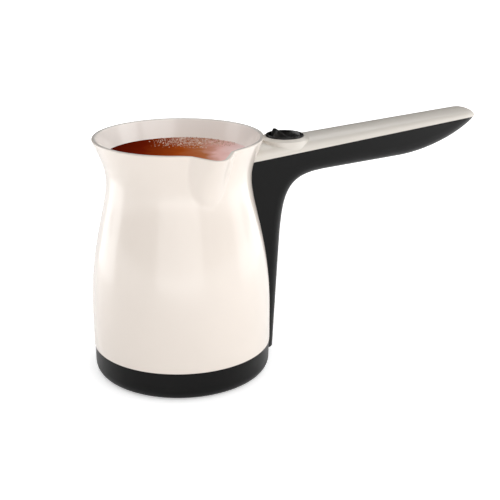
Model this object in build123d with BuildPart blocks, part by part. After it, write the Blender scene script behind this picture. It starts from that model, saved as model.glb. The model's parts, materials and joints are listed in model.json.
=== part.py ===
from build123d import *
from math import atan2, cos, degrees, hypot, radians, sin, sqrt, tan
import os

# Electric pot for boiling ground coffee. Millimetres, +Z up.
# Origin on the pot's axis, at the surface that it stands on. The handle points along +X
# and the pouring beak along -Y.

# ---- driving sizes: pot ----
RIM_Z = 125.4
RIM_R = 43.6
WAIST_DROP = 21.9
WAIST_R = 37.1
BELLY_TOP_Z = 34.0
BELLY_R = 46.7
POT_WALL = 2.0
SKIRT_WALL = 2.1
SHOULDER_PULL = 36.0
NECK_PULL = 14.5
FLARE_PULL = 8.0
RIM_PULL = 9.0
RIM_FLARE = 22.3
SEAM_Z = 15.0
SEAM_ROUND = 0.6

# ---- driving sizes: pouring beak ----
BEAK_REACH = 13.4
BEAK_HALF_W = 11.5
BEAK_TIP_R = 6.0
BEAK_DEPTH = 28.9
BEAK_DIP = 1.4
BEAK_SINK = 0.8
BEAK_KEEL = 0.08
BEAK_ROUND_LIMIT = 0.7
BEAK_SHARES = (0, 0.25, 0.5, 0.75, 0.9, 1)

# ---- driving sizes: pot bottom ----
FLANGE_Z = 28.0
FLANGE_T = 2.5
PLATE_T = 0.8
SEAL_LIP_T = 1.0
SEAL_LIP_W = 2.0
SEAL_BACK_T = 1.4
DISH_GAP = 2.0
DISH_W = 1.6
DISH_H = 0.5
CLAMP_T = 1.2
CLAMP_W = 5.5
CLAMP_EAR_R = 3.6
BOSS_GAP = 1.5
BOSS_R = 2.9
BOSS_COUNT = 3
RIB_T = 1.6
CLAMP_BOSS_AT = 30.0
BASE_BOSS_AT = 90.0

# ---- driving sizes: screws ----
SCREW_R = 1.25
HEAD_R = 2.2
HEAD_T = 1.6
DRIVE_W = 0.7
DRIVE_DEPTH = 0.8
CLAMP_SCREW_L = 5.0
BASE_SCREW_L = 10.6
ROOT_SCREW_L = 7.5
COVER_SCREW_L = 9.0
BRACKET_SCREW_L = 4.5

# ---- driving sizes: heater ----
SPREADER_GAP = 2.5
SPREADER_T = 3.0
TUBE_R = 3.3
TUBE_FLAT = 0.6
COIL_INSET = 7.0
COIL_GAP = 70.0
TAIL_BEND_R = 4.5
TAIL_DROP = 3.0
BEAD_R = 2.7
BEAD_T = 2.4
PIN_R = 1.1
PIN_L = 2.4

# ---- driving sizes: thermostat and fuse ----
CAP_R = 8.0
CAP_H = 3.0
CAP_T = 0.5
STAT_BODY_H = 7.0
DISC_R = 6.6
DISC_T = 0.3
STAT_TAB_Y = 3.6
POST_AT_Y = 12.6
POST_R = 2.6
BRACKET_T = 0.8
FUSE_R = 2.0
FUSE_L = 11.0
FUSE_AT_R = 13.4
CLIP_T = 0.6
CLIP_W = 4.0
CLIP_FOOT = 2.6

# ---- driving sizes: base ----
BASE_STEP = 0.4
BASE_LIFT = 0.6
BASE_FLOOR_T = 2.0
BASE_WALL = 2.0
BASE_EDGE_Z = 5.6
BASE_EDGE_RUN = 2.9
TONGUE_H = 1.5
TONGUE_T = 0.9
FOOT_EDGE = 0.8
FOOT_W = 5.2
FOOT_T = 1.6
BASE_BOSS_H = 3.4
BASE_BOSS_R = 3.8

# ---- driving sizes: terminal block and earth tab ----
BLOCK_X = -24.0
POLE_DEPTH = 3.5
BLOCK_D = 12.0
BLOCK_W = 26.0
BLOCK_H = 10.0
POLE_PITCH = 8.0
POLE_BORE_R = 1.5
POLE_Z = 5.2
POLE_SCREW_R = 1.4
HOOK_T = 1.6
HOOK_W = 4.0
HOOK_NOSE = 0.9
TAB_W = 4.8
TAB_T = 0.8
TAB_L = 5.0
EARTH_AT = 180.0
EARTH_FOOT = 5.0

# ---- driving sizes: handle ----
SEAM_ROOT_X = 41.0
SEAM_DROP = 14.7
SEAM_RISE = 4.0
HANDLE_REACH = 182.0
ROOT_HALF_W = 13.4
TIP_HALF_W = 11.0
TIP_ROUND = 9.0
HANDLE_WALL = 2.2
UNDER_ROUND = 7.0
FOOT_Z = 4.8
FOOT_DEPTH = 4.1
SPINE_TOP_DROP = 48.7
SPINE_TOP_DEPTH = 7.2
BEND_LOW_PULL = 32.0
BEND_HIGH_PULL = 25.0
BEND_END_X = 84.0
BEND_END_DEPTH = 13.3
BELLY_X = 130.0
BELLY_DEPTH = 15.0
TIP_LOW_PULL = 22.0
TIP_HIGH_PULL = 9.0
TIP_LEAN = 55.0
TIP_OVERRUN = 3.0
TIP_DEPTH = 1.2
ROOT_BOSS_DROP = 10.2
ROOT_BOSS_Y = 7.0
ROOT_BOSS_PROUD = 6.7
WEB_T = 2.4
WEB_HALF_H = 6.0
WEB_GAP_W = 6.4
CATCH_Z = 19.0
CATCH_T = 2.5
CATCH_W = 2.4
CATCH_LIP_T = 1.1
CATCH_LIP_H = 2.3
WINDOW_W = 10.0
WINDOW_H = 8.0

# ---- driving sizes: handle cover ----
COVER_SIDE_H = 3.4
COVER_CROWN_H = 6.0
COVER_FALL = 1.0
COVER_WALL = 2.0
COVER_EDGE_R = 4.2
LIP_H = 2.0
LIP_T = 1.2
COVER_SCREW_X = (100.0, 150.0)
COVER_BOSS_R = 3.0
COVER_POST_R = 4.0
COVER_SEAT_H = 3.6
COVER_SHELF_T = 2.0

# ---- driving sizes: switch ----
SWITCH_RIM_GAP = 4.8
COLLAR_R = 12.9
COLLAR_RISE = 7.1
COLLAR_CHAMFER_R = 2.0
COLLAR_CHAMFER_H = 1.1
COLLAR_SKIRT = 6.4
BEZEL_R = 10.1
BEZEL_SEAT = 1.2
BEZEL_PROUD = 0.9
BEZEL_EDGE_R = 0.7
BARREL_R = 9.5
BARREL_WALL = 0.9
BARREL_H = 13.0
BARREL_FLOOR_T = 1.2
SNAP_W = 5.0
SNAP_PROUD = 0.7
SNAP_H = 1.8
PIVOT_DROP = 3.2
ROCKER_TILT = 12.0
ROCKER_R = 8.3
ROCKER_TOP_R = 7.23
ROCKER_END_H = 6.7
ROCKER_MID_H = 3.4
ROCKER_SKIRT_H = 2.0
ROCKER_SKIRT_R = 8.0
ROCKER_CAVITY_R = 6.4
ROCKER_ROOF_T = 1.6
ROCKER_EDGE_R = 0.4
TRUNNION_R = 1.3
STEM_R = 2.9
STEM_H = 4.4
PLUNGER_R = 1.8
PLUNGER_REACH = 6.75
PLUNGER_L = 4.0
SPRING_WIRE_R = 0.25
SPRING_TURNS = 5
BLADE_L = 13.0
BLADE_W = 4.4
BLADE_T = 0.5
BLADE_DROP = 7.2
BLADE_TILT = 6.0
RIVET_R = 1.2
RIVET_T = 0.6
CONTACT_X = 5.2
SWITCH_TAB_L = 5.6
OUTPUT_TAB_L = 3.2
STRIP_T = 0.4

# ---- driving sizes: cord bush and leads ----
BUSH_Z = 11.0
BUSH_BORE_R = 3.1
BUSH_WALL = 0.6
BUSH_FLANGE_R = 5.0
BUSH_FLANGE_T = 1.2
BUSH_PAD_R = 6.0
BUSH_PAD_PROUD = 0.3
BUSH_LOCK_R = 4.6
BUSH_LOCK_T = 1.0
LEAD_R = 0.9
LEAD_BEND_SHARE = 0.45
SLEEVE_WALL = 0.6
SLEEVE_L = 4.0

# ---- fits ----
FIT = 0.15
SLIP = 0.05
THREAD_GAP = 0.02
EDGE_GAP = 0.6
# how far shapes of one piece run into each other where they join
WELD = 0.02
# a direction this close to 1 along an axis counts as running along it
MOSTLY = 0.7


# ---- places worked out from the sizes ----
WAIST_Z = RIM_Z - WAIST_DROP
SEAM_ROOT_Z = RIM_Z - SEAM_DROP
SPINE_TOP_Z = SEAM_ROOT_Z - SPINE_TOP_DROP
ROOT_BOSS_Z = SEAM_ROOT_Z - ROOT_BOSS_DROP
ROOT_BOSS_X = WAIST_R + ROOT_BOSS_PROUD
SKIRT_R = BELLY_R - SKIRT_WALL
BASE_R = BELLY_R - BASE_STEP
BASE_IN_R = BASE_R - BASE_WALL
BASE_FLAT_R = BASE_R - BASE_EDGE_RUN
FOOT_OUT_R = BASE_FLAT_R - FOOT_EDGE
FOOT_IN_R = FOOT_OUT_R - FOOT_W
BOSS_RING_R = SKIRT_R - BOSS_GAP - BOSS_R
SEAL_R = BOSS_RING_R - BOSS_R - 2 * FIT
PLATE_R = SEAL_R - SEAL_BACK_T
FLANGE_BORE_R = PLATE_R - SEAL_LIP_W
DISH_R = FLANGE_BORE_R - DISH_GAP - DISH_W
CLAMP_BORE_R = SEAL_R - CLAMP_W
SPREADER_R = CLAMP_BORE_R - SPREADER_GAP
COIL_R = SPREADER_R - COIL_INSET
FLOOR_Z = BASE_LIFT + BASE_FLOOR_T
SEAL_H = PLATE_T + 2 * SEAL_LIP_T
CLAMP_TOP = FLANGE_Z - SEAL_H
CLAMP_LOW = CLAMP_TOP - CLAMP_T
PLATE_TOP = FLANGE_Z - SEAL_LIP_T
PLATE_LOW = PLATE_TOP - PLATE_T
SPREADER_LOW = PLATE_LOW - SPREADER_T
COIL_Z = SPREADER_LOW - TUBE_R + TUBE_FLAT
TAIL_LOW = COIL_Z - TAIL_BEND_R - TAIL_DROP
BEAD_LOW = TAIL_LOW - BEAD_T
PIN_LOW = BEAD_LOW - PIN_L
CAP_LOW = SPREADER_LOW - CAP_H
CAP_ROOF = SPREADER_LOW - CAP_T
STAT_TOP = CAP_ROOF - DISC_T - 2 * SLIP
STAT_LOW = STAT_TOP - STAT_BODY_H
BRACKET_LOW = CAP_LOW - BRACKET_T
BASE_BOSS_TOP = FLOOR_Z + BASE_BOSS_H
BASE_HEAD_Z = FOOT_T + HEAD_T + FIT
TONGUE_R = BASE_IN_R + TONGUE_T
BUSH_NECK_R = BUSH_BORE_R + BUSH_WALL
WINDOW_Z = SEAM_Z + TONGUE_H + EDGE_GAP
CATCH_Y = ROOT_HALF_W - HANDLE_WALL - CATCH_W / 2
BLOCK_TOP = FLOOR_Z + BLOCK_H
SWITCH_X = RIM_R + SWITCH_RIM_GAP + COLLAR_R
PILOT_R = SCREW_R + THREAD_GAP
HOLE_R = SCREW_R + FIT
POLES = (-POLE_PITCH, 0, POLE_PITCH)


# ---- helpers ----
BOTTOM = (Align.CENTER, Align.CENTER, Align.MIN)


def post(radius, low, high, mode=Mode.ADD):
    """Cylinder along Z between two heights, at the current locations."""
    with Locations((0, 0, low)):
        Cylinder(radius, high - low, align=BOTTOM, mode=mode)


def ring(outer, inner, low, high, mode=Mode.ADD):
    """Ring round the pot's axis between two heights."""
    with BuildSketch(Plane.XY.offset(low)) as band:
        Circle(outer)
        Circle(inner, mode=Mode.SUBTRACT)
    extrude(band.sketch, amount=high - low, mode=mode)


def bar(radius, start, end, places, mode=Mode.ADD):
    """Cylinders along X between two values of x, through the places (y, z)."""
    with BuildSketch(Plane.YZ.offset(start)) as discs:
        with Locations(places):
            Circle(radius)
    extrude(discs.sketch, amount=end - start, mode=mode)


def cubic(ends, share):
    """Point of a cubic curve, given by its four control points, at a share of its run."""
    rest = 1 - share
    weights = (rest**3, 3 * rest**2 * share, 3 * rest * share**2, share**3)
    return tuple(sum(weight * end[axis] for weight, end in zip(weights, ends)) for axis in (0, 1))


def cubic_at(ends, axis, value):
    """The curve's other coordinate where its coordinate number axis has the given value."""
    low, high = 0.0, 1.0
    for _ in range(40):
        middle = (low + high) / 2
        if cubic(ends, middle)[axis] < value:
            low = middle
        else:
            high = middle
    return cubic(ends, low)[1 - axis]


def along(start, heading, distance):
    """Point at a distance from start, in the XZ plane, along a heading in degrees."""
    turn = radians(heading)
    return (start[0] + distance * cos(turn), start[1] + distance * sin(turn))


def screw_group(length, places):
    """Pan-head screws whose heads sit on the places given, shanks running down from them."""
    with BuildPart() as screw:
        Cylinder(HEAD_R, HEAD_T, align=BOTTOM)
        fillet(screw.edges().group_by(Axis.Z)[-1], HEAD_T / 3)
        with Locations((0, 0, HEAD_T)):
            for turn in (0, 90):
                Box(2 * SCREW_R, DRIVE_W, 2 * DRIVE_DEPTH, rotation=(0, 0, turn), mode=Mode.SUBTRACT)
        post(SCREW_R, -length, 0)
        chamfer(screw.edges().group_by(Axis.Z)[0], SCREW_R / 2)
    with BuildPart() as group:
        for place in places:
            add(screw.part.moved(place))
    return group


def ring_places(start, height):
    """Upside-down places on the ring of bosses, evenly spaced from the angle start."""
    places = []
    for number in range(BOSS_COUNT):
        angle = radians(start + number * 360 / BOSS_COUNT)
        spot = (BOSS_RING_R * cos(angle), BOSS_RING_R * sin(angle), height)
        places.append(Location(spot, (180, 0, 0)))
    return places


# ---- pot outline ----
def shoulder(inset):
    """Control points (r, z) of the side from the belly to the waist, drawn in by inset."""
    belly, waist = BELLY_R - inset, WAIST_R - inset
    low, high = BELLY_TOP_Z + SHOULDER_PULL, WAIST_Z - NECK_PULL
    return ((belly, BELLY_TOP_Z), (belly, low), (waist, high), (waist, WAIST_Z))


def flare(inset):
    """Control points (r, z) of the side from the waist to the rim, drawn in by inset."""
    waist, rim = WAIST_R - inset, RIM_R - inset
    under_rim = along((rim, RIM_Z), 90 - RIM_FLARE, -RIM_PULL)
    return ((waist, WAIST_Z), (waist, WAIST_Z + FLARE_PULL), under_rim, (rim, RIM_Z))


def pot_radius(height):
    """Outer radius of the pot at a height above its belly."""
    if height < WAIST_Z:
        return cubic_at(shoulder(0), 1, height)
    return cubic_at(flare(0), 1, min(height, RIM_Z))


def pot_side_solid(inset, low):
    """Solid of revolution inside the pot's side, drawn in by inset, from low to the rim."""
    with BuildPart() as solid:
        with BuildSketch(Plane.XZ):
            with BuildLine():
                Line((BELLY_R - inset, low), (BELLY_R - inset, BELLY_TOP_Z))
                Bezier(*shoulder(inset))
                Bezier(*flare(inset))
                Polyline((RIM_R - inset, RIM_Z), (0, RIM_Z), (0, low), (BELLY_R - inset, low))
            make_face()
        revolve(axis=Axis.Z)
    return solid.part


def beak_section(share, wall):
    """Face across the beak, share 0 at the rim and 1 where it fades into the waist."""
    height = RIM_Z - share * BEAK_DEPTH
    side = pot_radius(height) - (BEAK_SINK if share == 1 else 0)
    half = BEAK_HALF_W * sqrt(max(1 - share**3, BEAK_KEEL))
    root = sqrt(side**2 - half**2)
    point = side + BEAK_REACH * (1 - share**2)
    opening = atan2(half, point - root)
    flank = hypot(half, point - root)
    rounding = min(BEAK_TIP_R * (1 + share), BEAK_ROUND_LIMIT * flank * tan(opening))
    point = point - wall / sin(opening)
    root = root - wall
    half = (point - root) * tan(opening)
    back = -RIM_R / 2
    with BuildSketch(Plane.XY.offset(height)) as section:
        with BuildLine():
            Polyline((half, back), (half, -root), (0, -point), (-half, -root), (-half, back), close=True)
        make_face()
        fillet(section.vertices().sort_by(Axis.Y)[0], rounding - wall)
    return section.sketch


def beak_solid(wall):
    """Solid of the beak, drawn in by wall."""
    with BuildPart() as beak:
        loft([beak_section(share, wall).face() for share in BEAK_SHARES])
    return beak.part


# ---- pot body ----
DIP_R = (BEAK_HALF_W**2 + BEAK_DIP**2) / (2 * BEAK_DIP)
DIP_FROM_Y = sqrt(RIM_R**2 - BEAK_HALF_W**2)
ROOT_BOSSES = [(side * ROOT_BOSS_Y, ROOT_BOSS_Z) for side in (1, -1)]
INSIDE_LOW = FLANGE_Z + FLANGE_T

with BuildPart() as pot_hollow:
    add(pot_side_solid(POT_WALL, INSIDE_LOW))
    fillet(pot_hollow.edges().group_by(Axis.Z)[0], POT_WALL)
    add(beak_solid(POT_WALL))

with BuildPart() as pot_body:
    add(pot_side_solid(0, SEAM_Z))
    fillet(pot_body.edges().group_by(Axis.Z)[0], SEAM_ROUND)
    add(beak_solid(0))
    # bosses on the neck for the handle's screws
    bar(BOSS_R, WAIST_R / 2, ROOT_BOSS_X, ROOT_BOSSES)
    add(pot_hollow.part, mode=Mode.SUBTRACT)
    bar(PILOT_R, ROOT_BOSS_X + WEB_T - ROOT_SCREW_L - FIT, ROOT_BOSS_X, ROOT_BOSSES, Mode.SUBTRACT)
    # dip of the pouring lip
    with Locations((0, -DIP_FROM_Y - RIM_R / 2, RIM_Z - BEAK_DIP + DIP_R)):
        Cylinder(DIP_R, RIM_R, rotation=(90, 0, 0), mode=Mode.SUBTRACT)
    # chamber under the flange, with the step that the base's tongue enters
    post(SKIRT_R, SEAM_Z, FLANGE_Z, Mode.SUBTRACT)
    post(FLANGE_BORE_R, FLANGE_Z, INSIDE_LOW, Mode.SUBTRACT)
    post(TONGUE_R + FIT, SEAM_Z, SEAM_Z + TONGUE_H + FIT, Mode.SUBTRACT)
    # bosses of the clamp ring and of the base, each tied to the skirt by a rib
    for start, low in ((CLAMP_BOSS_AT, CLAMP_TOP), (BASE_BOSS_AT, BASE_BOSS_TOP)):
        with PolarLocations(BOSS_RING_R, BOSS_COUNT, start):
            post(BOSS_R, low, FLANGE_Z + FLANGE_T / 2)
        with PolarLocations((BOSS_RING_R + SKIRT_R) / 2, BOSS_COUNT, start):
            with Locations((0, 0, CLAMP_TOP)):
                Box(SKIRT_R - BOSS_RING_R + SKIRT_WALL, RIB_T, SEAL_H + FLANGE_T / 2, align=BOTTOM)
    with PolarLocations(BOSS_RING_R, BOSS_COUNT, CLAMP_BOSS_AT):
        post(PILOT_R, CLAMP_TOP, CLAMP_LOW + CLAMP_SCREW_L + FIT, Mode.SUBTRACT)
    with PolarLocations(BOSS_RING_R, BOSS_COUNT, BASE_BOSS_AT):
        post(PILOT_R, BASE_BOSS_TOP, BASE_HEAD_Z + BASE_SCREW_L + FIT, Mode.SUBTRACT)
    # window for the leads and slots for the handle's catches
    with Locations((SKIRT_R, 0, WINDOW_Z)):
        Box(4 * SKIRT_WALL, WINDOW_W, WINDOW_H, align=BOTTOM, mode=Mode.SUBTRACT)
    with Locations([(SKIRT_R - SKIRT_WALL, side * CATCH_Y, CATCH_Z - FIT) for side in (1, -1)]):
        slot_h = CATCH_T + CATCH_LIP_H + 2 * FIT
        Box(6 * SKIRT_WALL, CATCH_W + 4 * FIT, slot_h, align=BOTTOM, mode=Mode.SUBTRACT)

# ---- pot bottom: plate, seal, clamp ring ----
with BuildPart() as heating_plate:
    post(PLATE_R - SLIP, PLATE_LOW, PLATE_TOP)
    ring(DISH_R + DISH_W, DISH_R, PLATE_TOP - WELD, PLATE_TOP + DISH_H)
    fillet(heating_plate.edges().group_by(Axis.Z)[-1], DISH_H / 2)

with BuildPart() as plate_seal:
    ring(SEAL_R, FLANGE_BORE_R, CLAMP_TOP, FLANGE_Z)
    post(PLATE_R, PLATE_LOW, PLATE_TOP, Mode.SUBTRACT)

with BuildPart() as clamp_ring:
    post(SEAL_R, CLAMP_LOW, CLAMP_TOP)
    with PolarLocations(BOSS_RING_R, BOSS_COUNT, CLAMP_BOSS_AT):
        post(CLAMP_EAR_R, CLAMP_LOW, CLAMP_TOP)
    with PolarLocations(BOSS_RING_R - CLAMP_EAR_R, BOSS_COUNT, CLAMP_BOSS_AT):
        with Locations((0, 0, CLAMP_LOW)):
            Box(2 * CLAMP_EAR_R, 2 * CLAMP_EAR_R, CLAMP_T, align=BOTTOM)
    post(CLAMP_BORE_R, CLAMP_LOW, CLAMP_TOP, Mode.SUBTRACT)
    with PolarLocations(BOSS_RING_R, BOSS_COUNT, CLAMP_BOSS_AT):
        post(HOLE_R, CLAMP_LOW, CLAMP_TOP, Mode.SUBTRACT)

clamp_screws = screw_group(CLAMP_SCREW_L, ring_places(CLAMP_BOSS_AT, CLAMP_LOW))

# ---- heater ----
BRACKET_POSTS = [(0, side * POST_AT_Y) for side in (1, -1)]
with BuildPart() as heat_spreader:
    post(SPREADER_R, SPREADER_LOW, PLATE_LOW)
    chamfer(heat_spreader.edges().group_by(Axis.Z)[0], SPREADER_T / 6)
    with Locations(BRACKET_POSTS):
        post(POST_R, CAP_LOW, SPREADER_LOW + WELD)
    with Locations(BRACKET_POSTS):
        post(PILOT_R, CAP_LOW, BRACKET_LOW + BRACKET_SCREW_L + FIT, Mode.SUBTRACT)

GAP_SIDE = COIL_GAP / 2
with BuildPart() as element_tail:
    with BuildSketch(Plane.XZ):
        with Locations((COIL_R, COIL_Z)):
            Circle(TUBE_R)
    revolve(axis=Axis((COIL_R, 0, COIL_Z - TAIL_BEND_R), (1, 0, 0)), revolution_arc=90)
    extrude(element_tail.faces().sort_by(Axis.Z)[0], amount=TAIL_DROP)

with BuildPart() as heating_element:
    with BuildSketch(Plane.XZ.rotated((0, 0, GAP_SIDE))):
        with Locations((COIL_R, COIL_Z)):
            Circle(TUBE_R)
    revolve(axis=Axis.Z, revolution_arc=360 - COIL_GAP)
    turned_tail = element_tail.part.rotate(Axis.Z, GAP_SIDE)
    add(turned_tail)
    add(mirror(turned_tail, about=Plane.XZ, mode=Mode.PRIVATE))
    # flat on which the tube is brazed to the spreader
    post(COIL_R + 2 * TUBE_R, SPREADER_LOW, PLATE_LOW, Mode.SUBTRACT)

TAIL_TURN = radians(GAP_SIDE)
TAIL_X = COIL_R * cos(TAIL_TURN) + TAIL_BEND_R * sin(TAIL_TURN)
TAIL_Y = COIL_R * sin(TAIL_TURN) - TAIL_BEND_R * cos(TAIL_TURN)
TAILS = [(TAIL_X, side * TAIL_Y) for side in (1, -1)]

with BuildPart() as element_seals:
    with Locations(TAILS):
        post(BEAD_R, BEAD_LOW, TAIL_LOW)
    chamfer(element_seals.edges().group_by(Axis.Z)[0], BEAD_T / 5)

with BuildPart() as element_pins:
    with Locations(TAILS):
        post(PIN_R, PIN_LOW, BEAD_LOW)

# ---- thermostat and fuse ----
with BuildPart() as thermostat_cap:
    post(CAP_R, CAP_LOW, SPREADER_LOW)
    fillet(thermostat_cap.edges().group_by(Axis.Z)[-1], CAP_T / 2)
    post(CAP_R - CAP_T, CAP_LOW, CAP_ROOF, Mode.SUBTRACT)

with BuildPart() as thermostat_disc:
    post(DISC_R, STAT_TOP + SLIP, STAT_TOP + SLIP + DISC_T)

with BuildPart() as thermostat_body:
    post(CAP_R - CAP_T - SLIP, STAT_LOW, STAT_TOP)
    fillet(thermostat_body.edges().group_by(Axis.Z)[0], CAP_T)

with BuildPart() as thermostat_tabs:
    with Locations([(0, side * STAT_TAB_Y, STAT_LOW - TAB_L) for side in (1, -1)]):
        Box(TAB_W, TAB_T, TAB_L, align=BOTTOM)
    fillet(thermostat_tabs.edges().filter_by(Axis.Y).group_by(Axis.Z)[0], TAB_T)

with BuildPart() as thermostat_bracket:
    post(CAP_R + BRACKET_T, BRACKET_LOW, CAP_LOW)
    with Locations(BRACKET_POSTS):
        post(POST_R + BRACKET_T, BRACKET_LOW, CAP_LOW)
    with Locations((0, 0, BRACKET_LOW)):
        Box(2 * POST_R, 2 * POST_AT_Y, BRACKET_T, align=BOTTOM)
    post(CAP_R - CAP_T, BRACKET_LOW, CAP_LOW, Mode.SUBTRACT)
    with Locations(BRACKET_POSTS):
        post(HOLE_R, BRACKET_LOW, CAP_LOW, Mode.SUBTRACT)

bracket_places = [Location((x, y, BRACKET_LOW), (180, 0, 0)) for x, y in BRACKET_POSTS]
bracket_screws = screw_group(BRACKET_SCREW_L, bracket_places)

FUSE_Z = SPREADER_LOW - FUSE_R - SLIP
CLIP_R = FUSE_R + SLIP
with BuildPart() as thermal_fuse:
    with BuildSketch(Plane.XZ.offset(-FUSE_L / 2)):
        with Locations((-FUSE_AT_R, FUSE_Z)):
            Circle(FUSE_R)
    extrude(amount=FUSE_L)
    fillet(thermal_fuse.edges(), FUSE_R / 4)

with BuildPart() as fuse_clip:
    with BuildSketch(Plane.XZ.offset(-CLIP_W / 2)):
        with Locations((-FUSE_AT_R, FUSE_Z)):
            Circle(CLIP_R + CLIP_T)
        with Locations((-FUSE_AT_R, SPREADER_LOW - CLIP_T / 2)):
            Rectangle(2 * (FUSE_R + CLIP_T + CLIP_FOOT), CLIP_T)
        with Locations((-FUSE_AT_R, SPREADER_LOW - FUSE_R / 2)):
            Rectangle(2 * (CLIP_R + CLIP_T), FUSE_R)
        with Locations((-FUSE_AT_R, FUSE_Z)):
            Circle(CLIP_R, mode=Mode.SUBTRACT)
        with Locations((-FUSE_AT_R, SPREADER_LOW - FUSE_R / 2)):
            Rectangle(2 * CLIP_R, FUSE_R, mode=Mode.SUBTRACT)
        with Locations((-FUSE_AT_R, SPREADER_LOW + FUSE_R)):
            Rectangle(4 * FUSE_AT_R, 2 * FUSE_R, mode=Mode.SUBTRACT)
    extrude(amount=CLIP_W)

# ---- base ----
EDGE_DROP = BASE_EDGE_Z - BASE_LIFT
EDGE_R = (BASE_EDGE_RUN**2 + EDGE_DROP**2) / (2 * BASE_EDGE_RUN)

with BuildPart() as base_cup:
    with BuildSketch(Plane.XZ):
        with BuildLine():
            Polyline((0, SEAM_Z), (0, BASE_LIFT), (BASE_FLAT_R, BASE_LIFT))
            RadiusArc((BASE_FLAT_R, BASE_LIFT), (BASE_R, BASE_EDGE_Z), -EDGE_R)
            Polyline((BASE_R, BASE_EDGE_Z), (BASE_R, SEAM_Z), (0, SEAM_Z))
        make_face()
    revolve(axis=Axis.Z)
    chamfer(base_cup.edges().group_by(Axis.Z)[-1], EDGE_GAP / 2)
    ring(TONGUE_R, BASE_IN_R - WELD, SEAM_Z - EDGE_GAP, SEAM_Z + TONGUE_H)
    post(BASE_IN_R, FLOOR_Z, SEAM_Z + TONGUE_H, Mode.SUBTRACT)
    # groove of the foot ring, and the screw posts above it
    ring(FOOT_OUT_R + FIT, FOOT_IN_R - FIT, BASE_LIFT, FOOT_T, Mode.SUBTRACT)
    with PolarLocations(BOSS_RING_R, BOSS_COUNT, BASE_BOSS_AT):
        post(BASE_BOSS_R, FLOOR_Z - WELD, BASE_BOSS_TOP - FIT)
    with PolarLocations(BOSS_RING_R, BOSS_COUNT, BASE_BOSS_AT):
        post(HEAD_R + FIT, FOOT_T - WELD, BASE_HEAD_Z, Mode.SUBTRACT)
    with PolarLocations(BOSS_RING_R, BOSS_COUNT, BASE_BOSS_AT):
        post(HOLE_R, FOOT_T, BASE_BOSS_TOP, Mode.SUBTRACT)
    # notch for the cord bush, open at the top
    with BuildSketch(Plane.YZ.offset(BASE_IN_R - 2 * BASE_WALL)):
        with Locations((0, BUSH_Z)):
            Circle(BUSH_NECK_R + FIT)
        with Locations((0, BUSH_Z + BUSH_NECK_R)):
            Rectangle(2 * (BUSH_NECK_R + FIT), 2 * BUSH_NECK_R)
    extrude(amount=4 * BASE_WALL, mode=Mode.SUBTRACT)
    # snap hooks that hold the terminal block down
    for side in (1, -1):
        with Locations((BLOCK_X, side * (BLOCK_W + HOOK_T + FIT) / 2, FLOOR_Z - WELD)):
            Box(HOOK_W, HOOK_T, BLOCK_H + HOOK_T + FIT, align=BOTTOM)
        with Locations((BLOCK_X, side * (BLOCK_W + HOOK_T - HOOK_NOSE) / 2, BLOCK_TOP + FIT)):
            Box(HOOK_W, HOOK_T + HOOK_NOSE, HOOK_T, align=BOTTOM)

with BuildPart() as foot_ring:
    ring(FOOT_OUT_R, FOOT_IN_R, 0, FOOT_T)
    fillet(foot_ring.edges().group_by(Axis.Z)[0], BASE_LIFT / 2)

base_screws = screw_group(BASE_SCREW_L, ring_places(BASE_BOSS_AT, BASE_HEAD_Z))

# ---- terminal block and earth tab ----
POLE_HEIGHT = FLOOR_Z + POLE_Z
with BuildPart() as terminal_block:
    with Locations((BLOCK_X, 0, FLOOR_Z)):
        Box(BLOCK_D, BLOCK_W, BLOCK_H, align=BOTTOM)
    chamfer(terminal_block.edges().filter_by(Axis.X).group_by(Axis.Z)[-1], HOOK_NOSE / 2)
    bar(POLE_BORE_R, BLOCK_X - BLOCK_D, BLOCK_X + BLOCK_D, [(y, POLE_HEIGHT) for y in POLES], Mode.SUBTRACT)
    with Locations([(BLOCK_X, y) for y in POLES]):
        post(POLE_SCREW_R + FIT, POLE_HEIGHT, BLOCK_TOP, Mode.SUBTRACT)
    # grooves between the poles
    with Locations([(BLOCK_X, (low + high) / 2, BLOCK_TOP) for low, high in zip(POLES, POLES[1:])]):
        Box(BLOCK_D, HOOK_T, HOOK_T, mode=Mode.SUBTRACT)

with BuildPart() as terminal_screws:
    with Locations([(BLOCK_X, y) for y in POLES]):
        post(POLE_SCREW_R, POLE_HEIGHT + LEAD_R + SLIP, BLOCK_TOP - HOOK_T)
    with Locations([(BLOCK_X, y, BLOCK_TOP - HOOK_T) for y in POLES]):
        Box(2 * POLE_SCREW_R, DRIVE_W, DRIVE_DEPTH, mode=Mode.SUBTRACT)

EARTH_X = (CLAMP_BORE_R + SEAL_R) / 2 - (EARTH_FOOT - TAB_T) / 2
EARTH_LOW = CLAMP_LOW - TAB_T - TAB_L
with BuildPart() as earth_tab:
    with PolarLocations(EARTH_X, 1, EARTH_AT):
        with Locations(((EARTH_FOOT - TAB_T) / 2, 0, CLAMP_LOW - TAB_T)):
            Box(EARTH_FOOT, EARTH_FOOT, TAB_T, align=BOTTOM)
        with Locations((0, 0, EARTH_LOW)):
            Box(TAB_T, TAB_W, TAB_L + WELD, align=BOTTOM)


# ---- handle outlines ----
def seam_z(x):
    """Height of the line where the handle's cover sits on its shell."""
    return SEAM_ROOT_Z + (x - SEAM_ROOT_X) * tan(radians(SEAM_RISE))


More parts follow.
